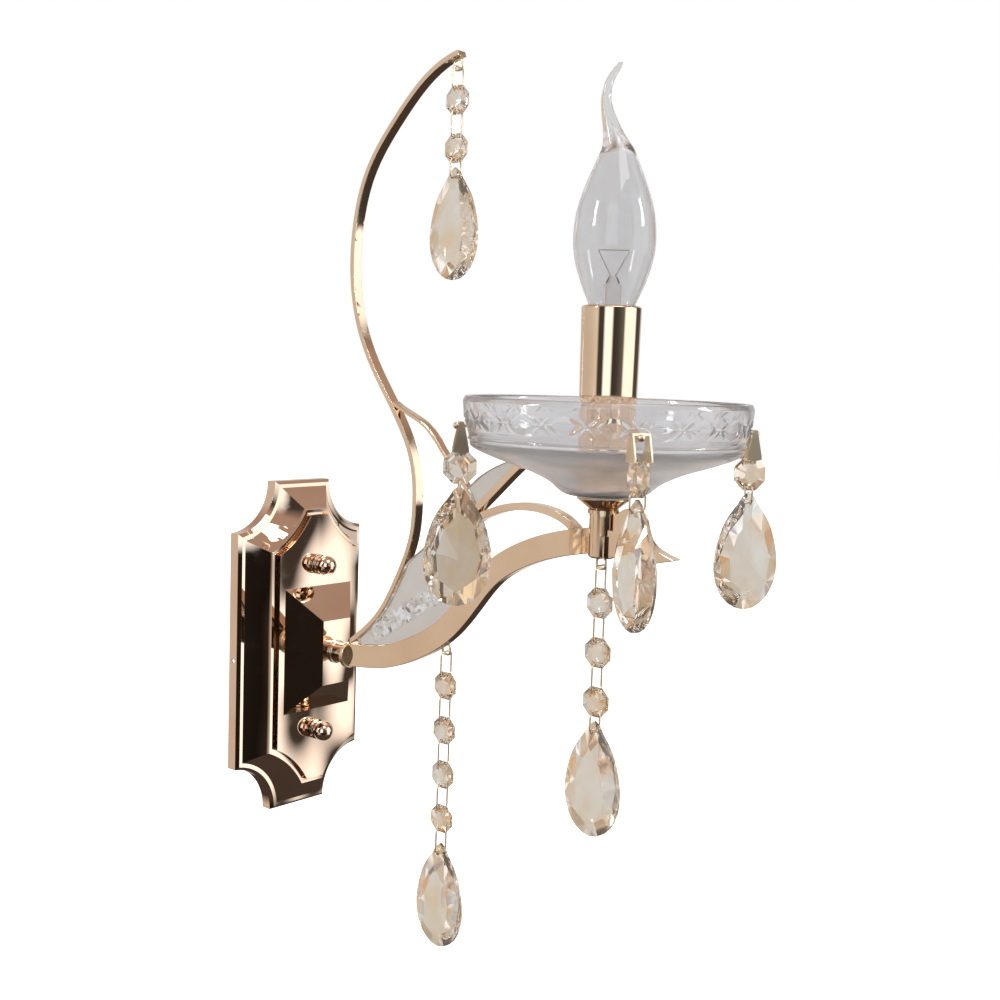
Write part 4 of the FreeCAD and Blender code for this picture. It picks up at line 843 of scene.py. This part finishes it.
@dataclass
class CandleLamp:
    """The candle sleeve, the lampholder in it and the bent tip lamp."""

    neck: float = 0.0065
    bottom: float = 0.1617
    body_height: float = 0.0796
    tail_height: float = 0.037
    widest: float = 0.0176
    wall: float = 0.0009
    bend: float = 0.0064
    tail_turn: float = math.radians(-54.0)
    around: int = 72
    # The hollow: how far up the tail it ends, how much it narrows there, its least and its last radius
    hollow_end: float = 0.4
    narrowing: float = 0.75
    least_radius: float = 0.0003
    end_radius: float = 0.0001
    tip_height: float = 0.0003
    tip_share: float = 0.45
    sleeve_round: float = 0.0003
    curve_steps: int = 6
    body: tuple[Point2, ...] = ((0.05, 0.41), (0.11, 0.49), (0.20, 0.57), (0.32, 0.79), (0.44, 0.95),
                                (0.56, 1.0), (0.70, 0.93), (0.84, 0.73), (1.0, 0.43))
    tail: tuple[Point3, ...] = (
        (0.10, 0.345, 0.10), (0.24, 0.245, 0.38), (0.46, 0.158, 0.78), (0.62, 0.120, 0.92),
        (0.80, 0.105, 0.72), (0.94, 0.088, 0.27), (1.00, 0.050, 0.06))

    def sections(self) -> list[Point3]:
        """Work out the rings of the lamp's outside, from the neck to the tip.

        Returns:
            Height, radius and bend of each ring.
        """
        rings = [(self.bottom, self.neck, 0.0)]
        rings += [(self.bottom + self.body_height * up, self.widest * out, 0.0) for up, out in self.body]
        start = self.bottom + self.body_height
        rings += [(start + self.tail_height * up, self.widest * out, self.bend * lean)
                  for up, out, lean in self.tail]
        return smooth_points(rings, self.curve_steps)

    def hollow(self, outer: Sequence[Point3]) -> list[Point3]:
        """Work out the rings of the lamp's inside, which closes in the lower tail.

        Args:
            outer: The rings of its outside.

        Returns:
            Height, radius and bend of each ring, from the neck up.
        """
        crown = self.bottom + self.body_height
        top = crown + self.tail_height * self.hollow_end
        rings = []
        for height, radius, lean in outer:
            if height < top:
                closing = max(height - crown, 0.0) / (top - crown)
                inner = radius * (1 - self.narrowing * closing) - self.wall * (1 + closing)
                rings.append((height, max(inner, self.least_radius), lean))
        return [*rings, (top, self.end_radius, rings[-1][2])]

    def glass_mesh(self) -> bpy.types.Mesh:
        """Build the lamp's glass: a hollow pear with a solid bent tail.

        Returns:
            The mesh, shaded smooth.
        """
        outer = self.sections()
        height, radius, lean = outer[-1]
        tip = (height + self.tip_height, radius * self.tip_share, lean)
        work = bmesh.new()
        rings = []
        for height, radius, lean in (*outer, tip, *reversed(self.hollow(outer))):
            centre = LAMP_AXIS + Vector((-lean * math.cos(self.tail_turn), -lean * math.sin(self.tail_turn),
                                         height))
            rings.append([
                work.verts.new(centre + Vector((radius * math.cos(turn), radius * math.sin(turn), 0.0)))
                for turn in (2 * math.pi * step / self.around for step in range(self.around))])
        split = len(outer)
        for number, (ring, after) in enumerate(zip(rings, [*rings[1:], rings[0]])):
            if number != split:
                for step in range(self.around):
                    follow = (step + 1) % self.around
                    work.faces.new((ring[step], ring[follow], after[follow], after[step]))
        work.faces.new(rings[split])
        work.faces.new(rings[split + 1])
        return smooth_mesh(work, "lamp_bulb")

    def build(self) -> None:
        """Build the lamp's glass and dress the sleeve, the holder and the cap."""
        add_piece("lamp_bulb", self.glass_mesh(), Finish.LAMP_GLASS, "lamp", "lamp_glass")
        soften("candle_sleeve", Finish.ARM, self.sleeve_round, segments=2)
        dress(Finish.HOLDER, "lampholder")
        dress(Finish.LAMP_METAL, "lampholder_shell", "lampholder_contact", "lamp_cap")
        dress(Finish.LAMP_GLASS, "lamp_stem")
        dress(Finish.WIRE, "lamp_filament")


@dataclass(frozen=True)
class CrystalCut:
    """The facets of one cut crystal: an outline, a ring of corners inside it and a middle point."""

    outline: tuple[Point2, ...]
    middle: Point2
    ring_share: float
    ring_height: float
    peak_height: float
    girdle: float
    per_corner: int
    holes: tuple[float, ...]
    hole_radius: float
    hole_sides: int = 12

    def mesh(self, name: str, at: Matrix) -> bpy.types.Mesh:
        """Cut the crystal.

        Args:
            name: The mesh's name.
            at: Its place, with its face along the local X axis and its outline in local Y and Z.

        Returns:
            A flat shaded mesh with its holes drilled.
        """
        work = bmesh.new()
        count = len(self.outline)
        corners = count // self.per_corner
        edges = {side: [work.verts.new((side * self.girdle / 2, y, z)) for y, z in self.outline]
                 for side in (-1, 1)}
        for number in range(count):
            follow = (number + 1) % count
            work.faces.new((edges[-1][number], edges[-1][follow], edges[1][follow], edges[1][number]))
        for side, edge in edges.items():
            ring = []
            for corner in range(corners):
                y, z = self.outline[corner * self.per_corner]
                ring.append(work.verts.new((side * self.ring_height,
                                            self.middle[0] + (y - self.middle[0]) * self.ring_share,
                                            self.middle[1] + (z - self.middle[1]) * self.ring_share)))
            peak = work.verts.new((side * self.peak_height, *self.middle))
            for corner in range(corners):
                after = (corner + 1) % corners
                work.faces.new((ring[corner], ring[after], peak))
                base = corner * self.per_corner
                half = self.per_corner // 2
                for step in range(self.per_corner):
                    apex = ring[corner] if step < half else ring[after]
                    work.faces.new((apex, edge[base + step], edge[(base + step + 1) % count]))
                work.faces.new((ring[corner], edge[base + half], ring[after]))
        bmesh.ops.recalc_face_normals(work, faces=work.faces)
        mesh = as_mesh(work, name)
        mesh.transform(at)
        return self.drilled(mesh, at)

    def drilled(self, mesh: bpy.types.Mesh, at: Matrix) -> bpy.types.Mesh:
        """Drill the crystal's holes across its thickness.

        Args:
            mesh: The crystal without holes.
            at: Its place.

        Returns:
            A new mesh, shaded flat.
        """
        blank = in_scene("crystal_blank", mesh)
        drills = []
        for height in self.holes:
            work = bmesh.new()
            turn = Matrix.Translation((0.0, 0.0, height)) @ Matrix.Rotation(math.pi / 2, 4, "Y")
            bmesh.ops.create_cone(work, cap_ends=True, segments=self.hole_sides, radius1=self.hole_radius,
                                  radius2=self.hole_radius, depth=self.peak_height * 3, matrix=turn)
            bit = as_mesh(work, "drill")
            bit.transform(at)
            drills.append(in_scene("drill", bit))
            cut = blank.modifiers.new("hole", "BOOLEAN")
            cut.object = drills[-1]
            cut.solver = "EXACT"
        bpy.context.view_layer.update()
        graph = bpy.context.evaluated_depsgraph_get()
        result = bpy.data.meshes.new_from_object(blank.evaluated_get(graph))
        result.name = mesh.name
        for item in (blank, *drills):
            bpy.data.objects.remove(item)
        result.shade_flat()
        return result


def drop_outline(length: float, half_width: float, points: int, steps: int = 8) -> tuple[Point2, ...]:
    """Draw the outline of a drop, its top at height zero.

    Args:
        length: From top to bottom.
        half_width: Half of its width.
        points: Points round the whole outline.
        steps: Steps of the curve between two of its given points.

    Returns:
        The points, from the top down one side and up the other.
    """
    shape = [(0.0, 0.0), (0.12, 0.0), (0.20, 0.06), (0.37, 0.124), (0.57, 0.2), (0.75, 0.29), (0.90, 0.42),
             (1.0, 0.57), (0.98, 0.70), (0.87, 0.81), (0.68, 0.9), (0.43, 0.963), (0.2, 0.992), (0.0, 1.0)]
    line = [(half_width * out, -length * down) for out, down in smooth_points(shape, steps)]
    reach = [0.0]
    for (ay, az), (by, bz) in zip(line, line[1:]):
        reach.append(reach[-1] + math.hypot(by - ay, bz - az))
    half = points // 2
    side = []
    for number in range(half + 1):
        want = reach[-1] * number / half
        place = next(index for index in range(1, len(reach)) if reach[index] >= want - 1e-12)
        share = (want - reach[place - 1]) / (reach[place] - reach[place - 1])
        side.append(tuple(a + (b - a) * share for a, b in zip(line[place - 1], line[place])))
    return tuple(side + [(-y, z) for y, z in reversed(side[1:-1])])


def octagon_outline(size: float) -> tuple[Point2, ...]:
    """Draw the outline of an octagon about its centre.

    Args:
        size: From one side to the opposite one.

    Returns:
        The corners, with a point at the middle of each side.
    """
    half, side = size / 2, size / 2 * math.tan(math.pi / 8)
    corners = [(side, half), (half, side), (half, -side), (side, -half), (-side, -half), (-half, -side),
               (-half, side), (-side, half)]
    points = []
    for (y, z), (after_y, after_z) in zip(corners, [*corners[1:], corners[0]]):
        points += [(y, z), ((y + after_y) / 2, (z + after_z) / 2)]
    return tuple(points)


@dataclass
class CrystalString:
    """A string of octagons with a large drop below them."""

    label: str
    x: float
    y: float
    octagon_tops: tuple[float, ...]
    drop_top: float
    octagon_node: str
    wires: tuple[str, ...]
    yaw: float = 0.0
    octagon_size: float = 0.0132
    octagon_margin: float = 0.0019
    drop_length: float = 0.052
    drop_width: float = 0.0294
    drop_thickness: float = 0.0114
    drop_points: int = 32
    drop_middle: float = 0.6

    def build(self) -> None:
        """Cut the octagons and the drop and dress the wires."""
        size = self.octagon_size
        hole = size / 2 - self.octagon_margin
        eight = CrystalCut(octagon_outline(size), (0.0, 0.0), ring_share=0.48, ring_height=0.0029,
                           peak_height=0.0032, girdle=0.0012, per_corner=2, holes=(hole, -hole),
                           hole_radius=0.0009)
        for number, top in enumerate(self.octagon_tops, start=1):
            name = f"{self.label}_crystal_{number}"
            add_piece(name, eight.mesh(name, self.place(top - size / 2)), Finish.CRYSTAL,
                      f"{self.label}_string", f"{self.label}_{self.octagon_node}")
        drop = CrystalCut(drop_outline(self.drop_length, self.drop_width / 2, self.drop_points),
                          (0.0, -self.drop_length * self.drop_middle), ring_share=0.66, ring_height=0.0044,
                          peak_height=self.drop_thickness / 2, girdle=0.0016, per_corner=4,
                          holes=(-0.0046,), hole_radius=0.00095)
        name = f"{self.label}_crystal_drop"
        add_piece(name, drop.mesh(name, self.place(self.drop_top)), Finish.CRYSTAL,
                  f"{self.label}_string_drop", f"{self.label}_drop")
        dress(Finish.CHAIN, *(f"{self.label}_{wire}" for wire in self.wires))

    def place(self, height: float) -> Matrix:
        """The string's place at a height, turned to face its own way."""
        return Matrix.Translation((self.x, self.y, height)) @ Matrix.Rotation(self.yaw, 4, "Z")


def arm_strings(pitch: float = 0.022) -> list[CrystalString]:
    """Lay out the strings under the scroll, the bar and the pillar.

    Args:
        pitch: From one octagon to the next.

    Returns:
        The three strings.
    """
    places = (("scroll", -0.1094, 0.2792, 2, 0.2418), ("arm", -0.1127, 0.0026, 4, -0.0824),
              ("pillar", -0.2025, 0.0556, 3, -0.0036))
    return [CrystalString(label, 0.0, y, tuple(top - pitch * number for number in range(count)), drop_top,
                          octagon_node="octagons", wires=("links",))
            for label, y, top, count, drop_top in places]


def bowl_strings(size: float = 0.0144, gap: float = 0.0007,
                 hole_depth: float = 0.0046) -> list[CrystalString]:
    """Lay out the three strings hooked into the bowl's band.

    Args:
        size: Size of their octagons.
        gap: From an octagon to the top of the drop below it.
        hole_depth: From a drop's top to its hole.

    Returns:
        The three strings.
    """
    strings = []
    for side, x, y, hole in ((Side.LEFT, -0.046375, -0.160005, 0.09435),
                             (Side.FRONT, -0.043913, -0.250423, 0.09625),
                             (Side.RIGHT, 0.047407, -0.245940, 0.09435)):
        drop_top = hole + hole_depth
        strings.append(CrystalString(f"bowl_{side.name.lower()}", x, y, (drop_top + gap + size,), drop_top,
                                     octagon_node="octagon", wires=("clip", "hook"),
                                     yaw=math.radians(side.value), octagon_size=size))
    return strings


# Studio


@dataclass
class Studio:
    """A pale floor, soft light and the camera."""

    floor_drop: float = -0.34
    floor_half: float = 6.0
    lens: float = 48.182
    azimuth: float = math.radians(-49.480)
    elevation: float = math.radians(5.585)
    roll: float = math.radians(1.907)
    distance: float = 0.65426
    across: float = 0.033011
    up: float = 0.085665
    target: Point3 = (0.0, -0.1, 0.0)
    facing: float = math.radians(220.5)
    # What the metal reflects, in degrees round from the camera's side, brightness and warmth: at eye level
    level: tuple[Point3, ...] = (
        (-180, 0.7, 0.3), (-150, 0.58, 0.6), (-105, 0.6, 0.6), (-80, 0.67, 0.6), (-58, 0.8, 0.5),
        (-50, 0.06, 0.8), (-33, 0.05, -0.4), (-25, 1.35, -0.8), (-2, 1.35, -0.5), (6, 0.05, 1.6),
        (24, 0.06, 0.4), (46, 0.15, 0.2), (54, 1.3, -0.5), (101, 1.3, -0.3), (108, 0.07, 0.8),
        (138, 0.10, 0.8), (146, 0.65, 0.3), (180, 0.7, 0.3))
    # and below it
    below: tuple[Point3, ...] = (
        (-180, 0.80, 0.5), (-150, 0.66, 0.9), (-60, 0.62, 0.9), (-34, 0.56, 0.9), (-20, 0.03, 1.6),
        (-16, 0.01, 1.6), (-4, 0.016, 1.6), (8, 0.012, 1.6), (50, 0.03, 1.2), (60, 1.1, 0.4),
        (80, 1.45, 0.0), (90.7, 1.45, 0.0), (92.4, 0.05, 1.2), (132, 0.07, 1.2), (144, 0.7, 0.4),
        (180, 0.80, 0.5))
    below_fade: Point2 = (-0.09, -0.13)
    ceiling: Tone = (0.42, 0.31, 0.26)
    ceiling_fade: Point2 = (0.45, 0.65)
    ground: Tone = (0.06, 0.045, 0.038)
    ground_fade: Point2 = (-0.42, -0.6)
    diffuse: Tone = (0.62, 0.61, 0.6)
    # How much green and blue a warm panel loses
    warm_loss: Point2 = (0.14, 0.25)
    # What the glass shows: an even grey straight behind it, and the tones of a mottled room at the sides
    grey: Tone = (0.71, 0.715, 0.725)
    grey_toward: Point3 = (0.757, 0.647, -0.097)
    grey_fade: Point2 = (0.82, 0.93)
    room: tuple[tuple[float, Tone], ...] = (
        (0.30, (0.2, 0.17, 0.16)), (0.38, (0.72, 0.38, 0.13)), (0.44, (0.68, 0.58, 0.45)),
        (0.52, (0.62, 0.6, 0.57)), (0.57, (1.5, 1.5, 1.6)), (0.62, (0.36, 0.4, 0.5)),
        (0.72, (0.8, 0.5, 0.26)))
    room_scale: float = 4.2
    room_detail: float = 1.5
    lit_point: Point3 = (0.0, -0.13, 0.1)

    def build(self) -> None:
        """Build the floor, the light and the camera."""
        self.floor()
        self.world()
        self.softboxes()
        self.camera()

    def floor(self) -> None:
        """Lay the pale floor, which only the camera and diffuse light see."""
        work = bmesh.new()
        bmesh.ops.create_grid(work, x_segments=8, y_segments=8, size=self.floor_half)
        floor = in_scene("studio_floor", as_mesh(work, "studio_floor"))
        floor.location.z = self.floor_drop
        material = new_material("pale_floor", {"Roughness": 0.9, "Emission Color": WHITE,
                                               "Base Color": (0.86, 0.86, 0.86, 1.0)})
        nodes, shader = opened(material)
        path = nodes.tree.nodes.new("ShaderNodeLightPath").outputs
        hidden = nodes.math("MAXIMUM", path["Is Glossy Ray"], path["Is Transmission Ray"])
        nodes.feed(shader["Alpha"], nodes.math("SUBTRACT", 1.0, hidden))
        nodes.feed(shader["Emission Strength"], path["Is Camera Ray"])
        floor.data.materials.append(material)

    def panels(self, nodes: Nodes, share: Socket, stops: Sequence[Point3]) -> Socket:
        """Paint panels of light round the horizon.

        Args:
            nodes: The world's nodes.
            share: Turn round the horizon, from 0 to 1.
            stops: Degrees, brightness and warmth of each stop.

        Returns:
            The colour at each turn.
        """
        green, blue = self.warm_loss
        return nodes.ramp(share, [
            ((degrees + 180) / 360, (bright, bright * (1 - green * warm), bright * (1 - blue * warm)))
            for degrees, bright, warm in stops])

    def backdrop(self, nodes: Nodes, place: Socket) -> Socket:
        """Paint what the glass shows.

        Args:
            nodes: The world's nodes.
            place: The direction that is looked in.

        Returns:
            The colour in each direction.
        """
        behind = nodes.vector("DOT_PRODUCT", place, self.grey_toward)
        sides = nodes.ramp(nodes.noise(place, self.room_scale, self.room_detail), self.room)
        return nodes.mixed(nodes.remap(behind, *self.grey_fade), sides, opaque(self.grey))

    def world(self) -> None:
        """Paint the room round the light: white for the camera, panels for metal, soft grey for glass."""
        world = bpy.data.worlds.new("studio")
        bpy.context.scene.world = world
        world.use_nodes = True
        nodes = Nodes(world.node_tree)
        background = next(node for node in nodes.tree.nodes if node.type == "BACKGROUND")
        place = nodes.coordinates("Generated")
        parts = nodes.add("SeparateXYZ", "X", {"Vector": place}).node.outputs
        turns = nodes.math("MULTIPLY", nodes.math("ARCTAN2", parts["Y"], parts["X"]), 1 / (2 * math.pi))
        share = nodes.math("FRACT", nodes.math("ADD", turns, 1.5 - self.facing / (2 * math.pi)))
        path = nodes.tree.nodes.new("ShaderNodeLightPath").outputs
        colour = self.panels(nodes, share, self.level)
        for fade, shade in ((self.below_fade, self.panels(nodes, share, self.below)),
                            (self.ceiling_fade, opaque(self.ceiling)),
                            (self.ground_fade, opaque(self.ground))):
            colour = nodes.mixed(nodes.remap(parts["Z"], *fade), colour, shade)
        for ray, shade in (("Is Diffuse Ray", opaque(self.diffuse)),
                           ("Is Transmission Ray", self.backdrop(nodes, place)), ("Is Camera Ray", WHITE)):
            colour = nodes.mixed(path[ray], colour, shade)
        nodes.feed(background.inputs["Color"], colour)

    def softboxes(self) -> None:
        """Hang two tall soft boxes, one at each side in front, and a broad one above."""
        for name, place, size, power in (("soft_left", (-1.42, 0.5, 0.85), (0.2, 0.6), 8.0),
                                         ("soft_right", (0.84, -1.56, 0.85), (0.2, 0.6), 8.0),
                                         ("soft_top", (-0.2, -0.9, 1.6), (0.9, 0.9), 6.0)):
            light = bpy.data.lights.new(name, "AREA")
            light.energy = power
            light.shape = "RECTANGLE"
            light.size, light.size_y = size
            holder = in_scene(name, light)
            holder.location = place
            aim = Vector(self.lit_point) - Vector(place)
            holder.rotation_euler = aim.to_track_quat("-Z", "Y").to_euler()

    def camera(self) -> None:
        """Set the camera where the photo was taken from."""
        a, e, r = self.azimuth, self.elevation, self.roll
        back = Vector((math.sin(a) * math.cos(e), -math.cos(a) * math.cos(e), math.sin(e)))
        right = Vector((math.cos(a), math.sin(a), 0.0))
        up = back.cross(right)
        place = Vector(self.target) + back * self.distance + right * self.across + up * self.up
        turned_right = right * math.cos(r) + up * math.sin(r)
        turned_up = up * math.cos(r) - right * math.sin(r)
        lens = bpy.data.cameras.new("photo_camera")
        lens.lens = self.lens
        lens.sensor_width = 36.0
        lens.clip_start = 0.01
        camera = in_scene("photo_camera", lens)
        turn = Matrix((turned_right, turned_up, back)).transposed().to_4x4()
        camera.matrix_world = Matrix.Translation(place) @ turn
        bpy.context.scene.camera = camera
        bpy.context.scene.view_settings.view_transform = "Standard"


def main() -> None:
    """Build the light, then its studio."""
    logging.basicConfig(level=logging.INFO, format="%(message)s")
    for part in (WallPlate(), BarArm(), ClearPlates(), CutBowl(), CandleLamp(), *arm_strings(),
                 *bowl_strings(), Studio()):
        log.info("building %s", type(part).__name__)
        part.build()
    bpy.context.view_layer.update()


if __name__ == "__main__":
    main()
